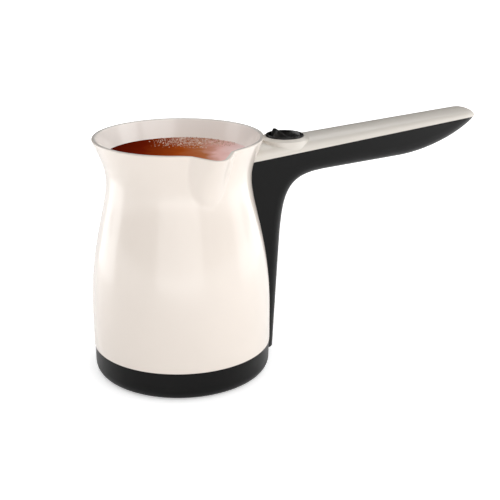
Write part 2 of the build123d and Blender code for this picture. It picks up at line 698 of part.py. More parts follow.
SEAM_PLANE = Plane(
    origin=(SEAM_ROOT_X, 0, SEAM_ROOT_Z),
    x_dir=(cos(radians(SEAM_RISE)), 0, sin(radians(SEAM_RISE))),
    z_dir=(-sin(radians(SEAM_RISE)), 0, cos(radians(SEAM_RISE))),
)
SPINE_FOOT = (BASE_R + FOOT_DEPTH, FOOT_Z)
SPINE_TOP = (BELLY_R + SPINE_TOP_DEPTH, SPINE_TOP_Z)
BEND_END = (BEND_END_X, seam_z(BEND_END_X) - BEND_END_DEPTH)
GRIP_BELLY = (BELLY_X, seam_z(BELLY_X) - BELLY_DEPTH)
GRIP_TIP = (HANDLE_REACH, seam_z(HANDLE_REACH) - TIP_DEPTH)
SPINE_HEADING = degrees(atan2(SPINE_TOP[1] - SPINE_FOOT[1], SPINE_TOP[0] - SPINE_FOOT[0]))
UNDER_HEADING = degrees(atan2(GRIP_BELLY[1] - BEND_END[1], GRIP_BELLY[0] - BEND_END[0]))


def bend(inset):
    """Control points (x, z) of the back where the spine turns into the grip."""
    low = along(SPINE_TOP, SPINE_HEADING + 90, inset)
    high = along(BEND_END, UNDER_HEADING + 90, inset)
    return (low, along(low, SPINE_HEADING, BEND_LOW_PULL), along(high, UNDER_HEADING, -BEND_HIGH_PULL), high)


def grip_end(inset):
    """Control points (x, z) of the grip's underside from its deepest place to past the tip."""
    low = along(GRIP_BELLY, UNDER_HEADING + 90, inset)
    high = along(GRIP_TIP, TIP_LEAN + 90, inset)
    beyond = along(high, TIP_LEAN, TIP_OVERRUN)
    return (low, along(low, UNDER_HEADING, TIP_LOW_PULL), along(high, TIP_LEAN, -TIP_HIGH_PULL), beyond)


def under_z(x):
    """Height of the grip's underside, past the bend."""
    if x < BELLY_X:
        return BEND_END[1] + (x - BEND_END_X) * tan(radians(UNDER_HEADING))
    return cubic_at(grip_end(0), 0, x)


def grip_plan(inset):
    """Sketch of the handle seen from above, drawn in by inset, on the ground plane."""
    slope = (ROOT_HALF_W - TIP_HALF_W) / (HANDLE_REACH - TIP_ROUND - SEAM_ROOT_X)
    start = WAIST_R / 2
    end = HANDLE_REACH - TIP_ROUND - inset
    start_half = ROOT_HALF_W - inset + (SEAM_ROOT_X - start) * slope
    end_half = ROOT_HALF_W - inset - (end - SEAM_ROOT_X) * slope
    tip = (HANDLE_REACH - inset, 0)
    with BuildSketch(Plane.XY) as plan:
        with BuildLine():
            Polyline((end, -end_half), (start, -start_half), (start, start_half), (end, end_half))
            Spline((end, end_half), tip, (end, -end_half), tangents=((1, -slope), (-1, -slope)))
        make_face()
    return plan.sketch


def under_edges(form):
    """Edges where the handle's sides meet its back and underside."""
    found = []
    for edge in form.edges():
        middle = edge @ 0.5
        beside = middle.X > BASE_R and abs(middle.Y) > TIP_ROUND / 3
        across = abs((edge % 0.5).Y) > 1 - (1 - MOSTLY) / 3
        if beside and not across and middle.Z < seam_z(middle.X):
            found.append(edge)
    return found


def handle_form(inset, rounding):
    """Solid inside the handle's back and sides, drawn in by inset, open-ended above the seam."""
    lean = radians(SPINE_HEADING)
    top = seam_z(HANDLE_REACH) + TIP_ROUND
    low = FOOT_Z + inset
    foot_x = SPINE_FOOT[0] - inset / sin(lean) + inset / tan(lean)
    tip = grip_end(inset)[-1]
    over_tip = (tip[0] + (top - tip[1]) / tan(radians(TIP_LEAN)), top)
    inner_x = WAIST_R / 2
    with BuildPart() as form:
        with BuildSketch(Plane.XZ):
            with BuildLine():
                Line((foot_x, low), bend(inset)[0])
                Bezier(*bend(inset))
                Line(bend(inset)[-1], grip_end(inset)[0])
                Bezier(*grip_end(inset))
                Polyline(tip, over_tip, (inner_x, top), (inner_x, low), (foot_x, low))
            make_face()
        extrude(amount=2 * ROOT_HALF_W, both=True)
        extrude(grip_plan(inset), amount=2 * top, mode=Mode.INTERSECT)
        fillet(under_edges(form), rounding)
    return form.part


# ---- handle shell ----
COVER_SEATS = [(x, under_z(x) + COVER_SEAT_H) for x in COVER_SCREW_X]
BUSH_PAD_TOP = BUSH_Z + BUSH_PAD_R
BUSH_PAD_X = SPINE_FOOT[0] + (BUSH_PAD_TOP - FOOT_Z) / tan(radians(SPINE_HEADING)) + BUSH_PAD_PROUD
BUSH_PLACE = [(0, BUSH_Z)]
CATCH_FACE = sqrt(SKIRT_R**2 - (CATCH_Y + CATCH_W / 2) ** 2) - FIT
CATCH_END = SPINE_FOOT[0] - HANDLE_WALL / 2
CATCH_LOW = (Align.MAX, Align.CENTER, Align.MIN)
POT_ENVELOPE = pot_side_solid(-FIT, 0)

with BuildPart() as handle_shell:
    add(handle_form(0, UNDER_ROUND))
    add(handle_form(HANDLE_WALL, UNDER_ROUND - HANDLE_WALL), mode=Mode.SUBTRACT)
    # web across the neck that the root screws pass through, with a gap for the leads
    with Locations((ROOT_BOSS_X + WEB_T / 2, 0, ROOT_BOSS_Z)):
        Box(WEB_T, 2 * ROOT_HALF_W - HANDLE_WALL, 2 * WEB_HALF_H)
        Box(2 * WEB_T, WEB_GAP_W, 3 * WEB_HALF_H, mode=Mode.SUBTRACT)
    bar(HOLE_R, ROOT_BOSS_X, ROOT_BOSS_X + WEB_T, ROOT_BOSSES, Mode.SUBTRACT)
    # posts that the cover's screws pull against
    for x, seat in COVER_SEATS:
        with Locations((x, 0)):
            post(COVER_POST_R, under_z(x) + HANDLE_WALL / 2, seat + COVER_SHELF_T)
            post(HEAD_R + FIT, FOOT_Z, seat, Mode.SUBTRACT)
            post(HOLE_R, FOOT_Z, seat + 2 * COVER_SHELF_T, Mode.SUBTRACT)
    # round pad for the cord bush, and its hole
    bar(BUSH_PAD_R, BUSH_PAD_X - HANDLE_WALL, BUSH_PAD_X, BUSH_PLACE)
    bar(BUSH_NECK_R + FIT, BUSH_PAD_X - 2 * HANDLE_WALL, BUSH_PAD_X, BUSH_PLACE, Mode.SUBTRACT)
    add(POT_ENVELOPE, mode=Mode.SUBTRACT)
    split(bisect_by=SEAM_PLANE, keep=Keep.BOTTOM)
    # catches at the foot, hooked through the pot's skirt
    for side in (1, -1):
        with Locations((CATCH_END, side * CATCH_Y, CATCH_Z)):
            Box(CATCH_END - CATCH_FACE + CATCH_LIP_T, CATCH_W, CATCH_T, align=CATCH_LOW)
        with Locations((CATCH_FACE, side * CATCH_Y, CATCH_Z - CATCH_LIP_H)):
            Box(CATCH_LIP_T, CATCH_W, CATCH_LIP_H + CATCH_T, align=CATCH_LOW)

root_places = [Location((ROOT_BOSS_X + WEB_T, y, z), (0, 90, 0)) for y, z in ROOT_BOSSES]
root_screws = screw_group(ROOT_SCREW_L, root_places)
cover_screws = screw_group(COVER_SCREW_L, [Location((x, 0, seat), (180, 0, 0)) for x, seat in COVER_SEATS])

# ---- handle cover ----
COLLAR_TOP = seam_z(SWITCH_X) + COLLAR_RISE
COLLAR_EDGE = COLLAR_TOP - COLLAR_CHAMFER_H
COLLAR_LOW = COLLAR_TOP - COLLAR_SKIRT
SEAT_Z = COLLAR_TOP - BEZEL_SEAT
LIP_INSET = HANDLE_WALL + FIT
CROWN_HEADING = radians(SEAM_RISE - COVER_FALL)
DOME_PLANE = Plane(
    origin=(SEAM_ROOT_X, 0, SEAM_ROOT_Z),
    x_dir=(0, 1, 0),
    z_dir=(cos(CROWN_HEADING), 0, sin(CROWN_HEADING)),
)


def dome_form(inset):
    """Solid under the cover's dome and inside its sides, drawn in by inset."""
    half = ROOT_HALF_W - inset
    side, crown = COVER_SIDE_H - inset, COVER_CROWN_H - inset
    with BuildPart() as dome:
        with BuildSketch(DOME_PLANE):
            with BuildLine():
                ThreePointArc((-half, side), (0, crown), (half, side))
                Polyline((half, side), (half, -BELLY_R), (-half, -BELLY_R), (-half, side))
            make_face()
        extrude(amount=HANDLE_REACH, both=True)
        extrude(grip_plan(inset), amount=2 * RIM_Z, mode=Mode.INTERSECT)
    return dome.part


def dome_edges(dome):
    """Edges where the dome meets its sides and tip."""
    found = []
    for edge in dome.edges():
        middle = edge @ 0.5
        raised = middle.X > WAIST_R and middle.Z > seam_z(middle.X) + EDGE_GAP
        if raised and abs((edge % 0.5).Z) < MOSTLY:
            found.append(edge)
    return found


def seam_band(outer_inset, inner_inset, low, high):
    """Band along the handle's sides, between two distances above the seam."""
    with BuildPart() as band:
        with BuildSketch(SEAM_PLANE.offset(low)):
            with Locations((HANDLE_REACH / 2, 0)):
                Rectangle(2 * HANDLE_REACH, 4 * ROOT_HALF_W)
        extrude(amount=high - low)
        extrude(grip_plan(outer_inset), amount=2 * RIM_Z, mode=Mode.INTERSECT)
        extrude(grip_plan(inner_inset), amount=2 * RIM_Z, mode=Mode.SUBTRACT)
    return band.part


with BuildPart() as cover_lip:
    add(seam_band(LIP_INSET, LIP_INSET + LIP_T, -LIP_H, LIP_T / 2))
    add(handle_form(LIP_INSET, UNDER_ROUND - LIP_INSET), mode=Mode.INTERSECT)

with BuildPart() as handle_cover:
    add(dome_form(0))
    split(bisect_by=SEAM_PLANE, keep=Keep.TOP)
    fillet(dome_edges(handle_cover), COVER_EDGE_R)
    with Locations((SWITCH_X, 0)):
        post(COLLAR_R, seam_z(SWITCH_X) + COVER_SIDE_H / 2, COLLAR_EDGE)
        with Locations((0, 0, COLLAR_EDGE)):
            Cone(COLLAR_R, COLLAR_R - COLLAR_CHAMFER_R, COLLAR_CHAMFER_H, align=BOTTOM)
    add(dome_form(COVER_WALL), mode=Mode.SUBTRACT)
    add(seam_band(COVER_WALL / 2, LIP_INSET + LIP_T, 0, LIP_T))
    add(cover_lip.part)
    with Locations((SWITCH_X, 0)):
        post(COLLAR_R - LIP_T / 2, COLLAR_LOW, SEAT_Z)
    add(POT_ENVELOPE, mode=Mode.SUBTRACT)
    with Locations((SWITCH_X, 0)):
        post(BARREL_R + FIT, SEAM_ROOT_Z - LIP_H, COLLAR_TOP, Mode.SUBTRACT)
        post(BEZEL_R + FIT, SEAT_Z, COLLAR_TOP, Mode.SUBTRACT)
    for x, seat in COVER_SEATS:
        with Locations((x, 0)):
            post(COVER_BOSS_R, seat + COVER_SHELF_T, seam_z(x) + COVER_SIDE_H)
            post(PILOT_R, seat, seat + COVER_SCREW_L + FIT, Mode.SUBTRACT)

# ---- switch ----
PIVOT_Z = COLLAR_TOP - PIVOT_DROP
BEZEL_TOP = COLLAR_TOP + BEZEL_PROUD
BARREL_LOW = SEAT_Z - BARREL_H
SWITCH_FLOOR = BARREL_LOW + BARREL_FLOOR_T
OPENING_R = BARREL_R - BARREL_WALL
BLADE_Z = PIVOT_Z - BLADE_DROP
TILT_RISE = sin(radians(BLADE_TILT))
FORK_TOP = BLADE_Z - BLADE_T / 2 - 2 * SLIP
STOP_TOP = BLADE_Z - BLADE_T / 2 - TILT_RISE * BLADE_L / 2 - FIT
OUTPUT_X = OPENING_R - BARREL_WALL - TAB_T / 2
ROCKER_PLACE = Location((SWITCH_X, 0, PIVOT_Z))
BLADE_PLACE = Location((SWITCH_X, 0, BLADE_Z))


def tilted(piece, angle, place):
    """The piece turned about its own Y axis and put in its place."""
    return piece.part.rotate(Axis.Y, angle).moved(place)


with BuildPart() as switch_housing:
    with Locations((SWITCH_X, 0)):
        post(BARREL_R, BARREL_LOW, SEAT_Z)
        post(BEZEL_R, SEAT_Z, BEZEL_TOP)
    fillet(switch_housing.edges().group_by(Axis.Z)[-1], BEZEL_EDGE_R)
    # snap lugs under the collar
    for side in (1, -1):
        with Locations((SWITCH_X + side * BARREL_R, 0, COLLAR_LOW - FIT - SNAP_H)):
            Box(2 * SNAP_PROUD, SNAP_W, SNAP_H, align=BOTTOM)
    with Locations((SWITCH_X, 0)):
        post(OPENING_R, SWITCH_FLOOR, BEZEL_TOP, Mode.SUBTRACT)
    # bearing holes of the rocker
    with Locations(ROCKER_PLACE):
        Cylinder(TRUNNION_R + SLIP, 2 * BARREL_R, rotation=(90, 0, 0), mode=Mode.SUBTRACT)
    # stop that the blade rests on, and the slots of the terminals
    with Locations((SWITCH_X - BLADE_L / 2 + TAB_T, 0, SWITCH_FLOOR - WELD)):
        Box(TAB_T, BLADE_W, STOP_TOP - SWITCH_FLOOR, align=BOTTOM)
    for x in (SWITCH_X, SWITCH_X + OUTPUT_X):
        with Locations((x, 0, BARREL_LOW)):
            Box(TAB_T + 2 * SLIP, TAB_W + 2 * SLIP, BARREL_FLOOR_T, align=BOTTOM, mode=Mode.SUBTRACT)

SCOOP = ROCKER_END_H - ROCKER_MID_H
SCOOP_R = (ROCKER_TOP_R**2 + SCOOP**2) / (2 * SCOOP)
CAVITY_TOP = ROCKER_MID_H - ROCKER_ROOF_T
BORE_TOP = ROCKER_MID_H - 1.5 * ROCKER_ROOF_T
with BuildPart() as level_rocker:
    with BuildSketch(Plane.XZ):
        with BuildLine():
            Polyline(
                (0, -ROCKER_SKIRT_H),
                (ROCKER_SKIRT_R, -ROCKER_SKIRT_H),
                (ROCKER_R, 0),
                (ROCKER_TOP_R, ROCKER_END_H),
                (0, ROCKER_END_H),
                close=True,
            )
        make_face()
    revolve(axis=Axis.Z)
    with Locations((0, 0, ROCKER_MID_H + SCOOP_R)):
        Cylinder(SCOOP_R, 4 * ROCKER_R, rotation=(90, 0, 0), mode=Mode.SUBTRACT)
    fillet(level_rocker.edges().filter_by(lambda edge: (edge @ 0.5).Z > ROCKER_MID_H / 2), ROCKER_EDGE_R)
    post(ROCKER_CAVITY_R, -ROCKER_SKIRT_H, CAVITY_TOP, Mode.SUBTRACT)
    post(STEM_R, -STEM_H, CAVITY_TOP + WELD)
    Cylinder(TRUNNION_R, 2 * (BARREL_R - FIT), rotation=(90, 0, 0))
    post(PLUNGER_R + SLIP, -STEM_H, BORE_TOP, Mode.SUBTRACT)

PLUNGER_TOP = PLUNGER_L - PLUNGER_REACH
with BuildPart() as level_plunger:
    post(PLUNGER_R, PLUNGER_R - PLUNGER_REACH, PLUNGER_TOP)
    with Locations((0, 0, PLUNGER_R - PLUNGER_REACH)):
        Sphere(PLUNGER_R)

SPRING_LOW = PLUNGER_TOP + SPRING_WIRE_R + SLIP
SPRING_RISE = BORE_TOP - SPRING_WIRE_R - SLIP - SPRING_LOW
with BuildPart() as level_spring:
    with BuildLine() as coil:
        coil_r = PLUNGER_R - 2 * SPRING_WIRE_R
        Helix(SPRING_RISE / SPRING_TURNS, SPRING_RISE, coil_r, center=(0, 0, SPRING_LOW))
    with BuildSketch(Plane(origin=coil.line @ 0, z_dir=coil.line % 0)):
        Circle(SPRING_WIRE_R)
    sweep(is_frenet=True)

with BuildPart() as switch_rocker:
    add(tilted(level_rocker, ROCKER_TILT, ROCKER_PLACE))

with BuildPart() as switch_plunger:
    add(tilted(level_plunger, ROCKER_TILT, ROCKER_PLACE))

with BuildPart() as plunger_spring:
    add(tilted(level_spring, ROCKER_TILT, ROCKER_PLACE))

with BuildPart() as level_blade:
    Box(BLADE_L, BLADE_W, BLADE_T)
    fillet(level_blade.edges().filter_by(Axis.Z), BLADE_T)

with BuildPart() as level_contact:
    with Locations((CONTACT_X, 0)):
        post(RIVET_R, -BLADE_T / 2 - RIVET_T, -BLADE_T / 2)

with BuildPart() as contact_blade:
    add(tilted(level_blade, -BLADE_TILT, BLADE_PLACE))

with BuildPart() as blade_contact:
    add(tilted(level_contact, -BLADE_TILT, BLADE_PLACE))

COMMON_LOW = BARREL_LOW - SWITCH_TAB_L
with BuildPart() as common_terminal:
    with Locations((SWITCH_X, 0, COMMON_LOW)):
        Box(TAB_T, TAB_W, FORK_TOP - COMMON_LOW, align=BOTTOM)

OUTPUT_LOW = BARREL_LOW - OUTPUT_TAB_L
STRIP_TOP = SWITCH_FLOOR + STRIP_T
CONTACT_TOP = BLADE_Z - (CONTACT_X + RIVET_R) * TILT_RISE - BLADE_T / 2 - RIVET_T - 2 * SLIP
STRIP_END = (Align.MAX, Align.CENTER, Align.MIN)
with BuildPart() as output_terminal:
    with Locations((SWITCH_X + OUTPUT_X, 0, OUTPUT_LOW)):
        Box(TAB_T, TAB_W, STRIP_TOP - OUTPUT_LOW, align=BOTTOM)
    with Locations((SWITCH_X + OUTPUT_X + TAB_T / 2, 0, SWITCH_FLOOR)):
        Box(OUTPUT_X + TAB_T / 2 - CONTACT_X + 1.5 * RIVET_R, TAB_W, STRIP_T, align=STRIP_END)

with BuildPart() as output_contact:
    with Locations((SWITCH_X + CONTACT_X, 0)):
        post(RIVET_R, STRIP_TOP, CONTACT_TOP)

# ---- cord bush ----
BUSH_IN_X = sqrt(BASE_IN_R**2 - BUSH_LOCK_R**2) - FIT
BUSH_END_X = BUSH_IN_X - BUSH_LOCK_T
BUSH_OUT_X = BUSH_PAD_X + BUSH_FLANGE_T
with BuildPart() as cord_bush:
    bar(BUSH_FLANGE_R, BUSH_PAD_X, BUSH_OUT_X, BUSH_PLACE)
    fillet(cord_bush.edges().group_by(Axis.X)[-1], BUSH_FLANGE_T / 2)
    bar(BUSH_NECK_R, BUSH_END_X, BUSH_PAD_X, BUSH_PLACE)
    bar(BUSH_LOCK_R, BUSH_END_X, BUSH_IN_X, BUSH_PLACE)
    bar(BUSH_BORE_R, BUSH_END_X, BUSH_OUT_X, BUSH_PLACE, Mode.SUBTRACT)

# ---- receptacles pushed on the tabs ----
COMMON_TAB = (SWITCH_X, 0, COMMON_LOW)
OUTPUT_TAB = (SWITCH_X + OUTPUT_X, 0, OUTPUT_LOW)
EARTH_TAB = (-EARTH_X, 0, EARTH_LOW)
STAT_TABS = [(0, side * STAT_TAB_Y, STAT_LOW - TAB_L) for side in (1, -1)]
SLEEVE_HALF_T = TAB_T / 2 + SLIP + SLEEVE_WALL
SLEEVE_HALF_W = TAB_W / 2 + SLIP + SLEEVE_WALL


def sleeves(places, length, turn):
    """Sleeves round the ends of the tabs at the places, closed under the tab."""
    for x, y, z in places:
        with Locations(Location((x, y, z - SLEEVE_WALL), (0, 0, turn))):
            Box(2 * SLEEVE_HALF_T, 2 * SLEEVE_HALF_W, length, align=BOTTOM)
        with Locations(Location((x, y, z), (0, 0, turn))):
            Box(TAB_T + 2 * SLIP, TAB_W + 2 * SLIP, length, align=BOTTOM, mode=Mode.SUBTRACT)


with BuildPart() as lead_receptacles:
    sleeves([COMMON_TAB, EARTH_TAB], SLEEVE_L, 0)
    sleeves([OUTPUT_TAB], OUTPUT_TAB_L, 0)
    sleeves(STAT_TABS, SLEEVE_L, 90)


# ---- leads ----
def lead(points):
    """Insulated wire through the points, its corners rounded as far as its runs allow."""
    radii = []
    for before, corner, after in zip(points, points[1:], points[2:]):
        arrive, leave = Vector(*corner) - Vector(*before), Vector(*after) - Vector(*corner)
        turn = radians(arrive.get_angle(leave))
        radii.append(LEAD_BEND_SHARE * min(arrive.length, leave.length) / tan(turn / 2))
    with BuildPart() as wire:
        with BuildLine() as route:
            FilletPolyline(*points, radius=radii)
        with BuildSketch(Plane(origin=route.line @ 0, z_dir=route.line % 0)):
            Circle(LEAD_R)
        sweep()
    return wire


POLE_X = BLOCK_X + BLOCK_D / 2 - POLE_DEPTH
STAT_LEAD_Z = STAT_LOW - 0.8 * TAB_L
# wires between the block, the heater, the fuse, the thermostat and the switch
live_lead = lead(
    [
        (POLE_X, POLE_PITCH, POLE_HEIGHT),
        (-13, POLE_PITCH, POLE_HEIGHT),
        (0, 13.5, 6.5),
        (16, 15.5, 6.5),
        (31, 11, 12),
        (40, 3.5, 19.2),
        (48, 2.4, 20.6),
        (48.1, 2.4, 38),
        (48.6, 2.4, 66),
        (50, 2.4, 86),
        (53, 1.6, 96.5),
        (56.5, 0.6, 100.9),
        (SWITCH_X - SLEEVE_HALF_T, 0.6, 100.9),
    ]
)
switched_lead = lead(
    [
        (SWITCH_X + OUTPUT_X - SLEEVE_HALF_T, -1.6, 103.1),
        (65.6, -1.6, 103.1),
        (61.5, -6.6, 101.6),
        (55, -4.4, 96.5),
        (50, -2.4, 86),
        (48.6, -2.4, 66),
        (48.1, -2.4, 38),
        (48, -2.4, 20.6),
        (40, -2.8, 19.2),
        (31, -2.4, 13.5),
        (15, -2.9, 10.2),
        (9, -STAT_TAB_Y, STAT_LEAD_Z),
        (SLEEVE_HALF_W, -STAT_TAB_Y, STAT_LEAD_Z),
    ]
)
element_lead = lead(
    [
        (-SLEEVE_HALF_W, STAT_TAB_Y, STAT_LEAD_Z),
        (-7.5, STAT_TAB_Y, STAT_LEAD_Z),
        (-11.5, 8.5, 13.5),
        (-12.6, 10.8, 18),
        (-FUSE_AT_R, 9.8, FUSE_Z),
        (-FUSE_AT_R, FUSE_L / 2, FUSE_Z),
    ]
)
fuse_lead = lead(
    [
        (-FUSE_AT_R, -FUSE_L / 2, FUSE_Z),
        (-FUSE_AT_R, -9.8, FUSE_Z),
        (-12.4, -10.9, 17),
        (-8, -13, 9.5),
        (4, -15, 5.6),
        (16, -14.6, 4.6),
        (TAIL_X, -TAIL_Y, 4.6),
        (TAIL_X, -TAIL_Y, PIN_LOW),
    ]
)
neutral_lead = lead(
    [
        (POLE_X, 0, POLE_HEIGHT),
        (-12, 0, POLE_HEIGHT),
        (2, 3, 5.4),
        (14, 7.5, 4.6),
        (TAIL_X, TAIL_Y, 4.6),
        (TAIL_X, TAIL_Y, PIN_LOW),
    ]
)
earth_lead = lead(
    [
        (BLOCK_X - BLOCK_D / 2 + POLE_DEPTH, -POLE_PITCH, POLE_HEIGHT),
        (-34, -POLE_PITCH, POLE_HEIGHT),
        (-37, -4.5, 9.2),
        (-EARTH_X, 0, 12),
        (-EARTH_X, 0, EARTH_LOW - SLEEVE_WALL),
    ]
)

# ---- finished pieces ----
pieces = {
    "pot_body": pot_body,
    "heating_plate": heating_plate,
    "plate_seal": plate_seal,
    "clamp_ring": clamp_ring,
    "clamp_screws": clamp_screws,
    "heat_spreader": heat_spreader,
    "heating_element": heating_element,
    "element_seals": element_seals,
    "element_pins": element_pins,
    "thermostat_cap": thermostat_cap,
    "thermostat_disc": thermostat_disc,
    "thermostat_body": thermostat_body,
    "thermostat_tabs": thermostat_tabs,
    "thermostat_bracket": thermostat_bracket,
    "bracket_screws": bracket_screws,
    "thermal_fuse": thermal_fuse,
    "fuse_clip": fuse_clip,
    "base_cup": base_cup,
    "foot_ring": foot_ring,
    "base_screws": base_screws,
    "terminal_block": terminal_block,
    "terminal_screws": terminal_screws,
    "earth_tab": earth_tab,
    "handle_shell": handle_shell,
    "root_screws": root_screws,
    "handle_cover": handle_cover,
    "cover_screws": cover_screws,
    "switch_housing": switch_housing,
    "switch_rocker": switch_rocker,
    "switch_plunger": switch_plunger,
    "plunger_spring": plunger_spring,
    "contact_blade": contact_blade,
    "blade_contact": blade_contact,
    "common_terminal": common_terminal,
    "output_terminal": output_terminal,
    "output_contact": output_contact,
    "cord_bush": cord_bush,
    "lead_receptacles": lead_receptacles,
    "live_lead": live_lead,
    "switched_lead": switched_lead,
    "element_lead": element_lead,
    "fuse_lead": fuse_lead,
    "neutral_lead": neutral_lead,
    "earth_lead": earth_lead,
}
os.makedirs("parts", exist_ok=True)
for label, piece in pieces.items():
    piece.part.label = label
    export_step(piece.part, f"parts/{label}.step")
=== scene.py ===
import json
from math import cos, pi, radians, sin, tan

import bmesh
import bpy
from bpy.props import FloatProperty, FloatVectorProperty, IntProperty, PointerProperty
from mathutils import Matrix, Vector
from mathutils.bvhtree import BVHTree


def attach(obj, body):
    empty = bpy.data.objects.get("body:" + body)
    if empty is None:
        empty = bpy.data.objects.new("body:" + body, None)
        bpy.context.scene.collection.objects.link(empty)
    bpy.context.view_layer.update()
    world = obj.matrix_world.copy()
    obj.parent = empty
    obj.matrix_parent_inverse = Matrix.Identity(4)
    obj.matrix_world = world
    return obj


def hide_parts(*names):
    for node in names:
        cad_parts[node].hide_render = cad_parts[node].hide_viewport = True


bl_info = {
    "name": "Electric Coffee Pot",
    "version": (1, 0, 0),
    "blender": (4, 5, 0),
    "location": "View3D > Sidebar > Coffee Pot",
    "description": "Dresses the frame of an electric coffee pot: shell, finishes and stage",
    "category": "Object",
}

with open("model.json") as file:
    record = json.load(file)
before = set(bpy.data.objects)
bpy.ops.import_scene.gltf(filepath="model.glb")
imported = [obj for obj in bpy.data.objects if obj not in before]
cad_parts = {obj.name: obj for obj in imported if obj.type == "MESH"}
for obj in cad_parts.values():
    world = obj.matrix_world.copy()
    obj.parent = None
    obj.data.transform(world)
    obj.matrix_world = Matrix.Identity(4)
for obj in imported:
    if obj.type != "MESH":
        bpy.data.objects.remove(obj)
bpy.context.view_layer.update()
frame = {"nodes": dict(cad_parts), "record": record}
MM = 0.001

# profile of the pot's shell, as radius and height in millimetres
RIM = (43.6, 125.4)
WAIST = (37.1, 103.5)
BELLY = (46.7, 34.0)
SEAM = (46.7, 15.0)
SHOULDER = (BELLY, (46.7, 70.0), (37.1, 89.0), WAIST)
FLARE = (WAIST, (37.1, 111.5), (40.18, 117.07), RIM)
LIP_ROUNDING = 0.55

# flange that holds the steel bottom, and the skirt below it, in millimetres
FLANGE_TOP = 30.5
FLANGE_UNDERSIDE = 28
BOTTOM_HOLE_RADIUS = 33.6
SKIRT_RADIUS = 44.6
REBATE = (45.35, 16.65)

# screw posts, window for the leads and catch slots of the pot, in millimetres and degrees
POST_RING_RADIUS = 40.2
POST_RADIUS = 2.9
PILOT_RADIUS = 1.27
CLAMP_POSTS_AT = 30
BASE_POSTS_AT = 90
NECK_POST_ASIDE = 7.0
NECK_POST_HEIGHT = 100.5
SLOT_ASIDE = 10
SLOT_HALF_WIDTH = 1.5
LEAD_WINDOW = ((40.4, -5, 17.1), (48.8, 5, 25.1))

# place and aim of the camera in metres, and its level directions
CAMERA_PLACE = Vector((-0.2060, -0.4853, 0.2458))
CAMERA_AIM = Vector((0.0335, -0.0142, 0.0636))
CAMERA_RIGHT = Vector((0.891, -0.453, 0))
CAMERA_BACK = Vector((-0.453, -0.891, 0))


# ---- property groups ----
class PotSizes(bpy.types.PropertyGroup):
    """Sizes of the pot's shell and of its pouring beak."""

    wall: FloatProperty(
        name="Wall",
        description="Thickness of the pot's wall",
        default=2.0 * MM,
        unit="LENGTH",
    )
    beak_reach: FloatProperty(
        name="Beak Reach",
        description="How far the beak's tip stands out from the rim",
        default=12.5 * MM,
        unit="LENGTH",
    )
    beak_half: FloatProperty(
        name="Beak Half Width",
        description="Half of the beak's width at the rim",
        default=11.5 * MM,
        unit="LENGTH",
    )
    beak_depth: FloatProperty(
        name="Beak Depth",
        description="Height over which the beak fades into the waist",
        default=28.9 * MM,
        unit="LENGTH",
    )
    beak_tip: FloatProperty(
        name="Beak Tip Radius",
        description="Rounding of the beak's tip at the rim",
        default=6.0 * MM,
        unit="LENGTH",
    )
    beak_blend: FloatProperty(
        name="Beak Blend",
        description="Width of the soft creases beside the beak",
        default=0.5 * MM,
        unit="LENGTH",
    )
    lip_dip: FloatProperty(
        name="Lip Dip",
        description="How far the lip drops at the beak",
        default=1.4 * MM,
        unit="LENGTH",
    )
    columns: IntProperty(name="Columns", description="Faces round the pot", default=480, min=48)


class FinishColours(bpy.types.PropertyGroup):
    """Colours of the moulded pieces."""

    cream: FloatVectorProperty(
        name="Cream",
        description="Pot",
        subtype="COLOR",
        size=4,
        default=(0.81, 0.732, 0.663, 1),
    )
    # painted light: the inside of the pot gets a lighter cream than the outside, standing in for
    # light that doesn't reach into it
    inner: FloatVectorProperty(
        name="Inner Cream",
        description="Inside of the pot",
        subtype="COLOR",
        size=4,
        default=(0.97, 0.92, 0.865, 1),
    )
    # painted shade: a dark grey that stands in for the dark that the lip's rounded crest shows
    lip: FloatVectorProperty(
        name="Lip",
        description="Crest of the pot's lip",
        subtype="COLOR",
        size=4,
        default=(0.34, 0.33, 0.31, 1),
    )
    # painted shade: a darker copy of the pot's cream, standing in for the dimmer light on the
    # cover's top
    cover: FloatVectorProperty(
        name="Cover",
        description="Handle cover and switch collar",
        subtype="COLOR",
        size=4,
        default=(0.64, 0.6, 0.545, 1),
    )
    black: FloatVectorProperty(
        name="Black",
        description="Handle shell and base",
        subtype="COLOR",
        size=4,
        default=(0.0035, 0.0035, 0.0035, 1),
    )
    switch: FloatVectorProperty(
        name="Switch",
        description="Rocker switch",
        subtype="COLOR",
        size=4,
        default=(0.009, 0.0085, 0.008, 1),
    )


class StageSettings(bpy.types.PropertyGroup):
    """Camera, light, floor and the coffee in the pot."""

    lens: FloatProperty(
        name="Lens", description="Focal length of the camera", default=76.65, unit="CAMERA"
    )
    level: FloatProperty(
        name="Coffee Level",
        description="Height of the coffee's surface",
        default=115.5 * MM,
        unit="LENGTH",
    )
    floor: FloatVectorProperty(
        name="Floor",
        description="Floor and backdrop",
        subtype="COLOR",
        size=4,
        default=(0.93, 0.93, 0.93, 1),
    )
    glow: FloatProperty(
        name="Surroundings", description="Strength of the even light all round", default=0.21, min=0
    )
    left_power: FloatProperty(
        name="Left Light", description="Power of the light at the left", default=0.16, unit="POWER"
    )
    right_power: FloatProperty(
        name="Right Light",
        description="Power of the light at the right",
        default=0.17,
        unit="POWER",
    )
    low_power: FloatProperty(
        name="Low Light", description="Power of the low light in front", default=0.34, unit="POWER"
    )
    front_power: FloatProperty(
        name="Front Light", description="Power of the light in front", default=4.0, unit="POWER"
    )
    high_left: FloatProperty(
        name="High Left",
        description="Power of the light high at the left",
        default=2.0,
        unit="POWER",
    )
    high_right: FloatProperty(
        name="High Right",
        description="Power of the light high at the right",
        default=3.4,
        unit="POWER",
    )
    top_power: FloatProperty(
        name="Top Light", description="Power of the light overhead", default=3.8, unit="POWER"
    )
    floor_near: FloatProperty(
        name="Floor Glow Near", description="The floor's own light at the pot", default=0.12, min=0
    )
    floor_far: FloatProperty(
        name="Floor Glow Far", description="The floor's own light far away", default=0.8, min=0
    )
    bubbles: IntProperty(
        name="Bubble Seed", description="Seed of the bubbles on the coffee", default=7
    )


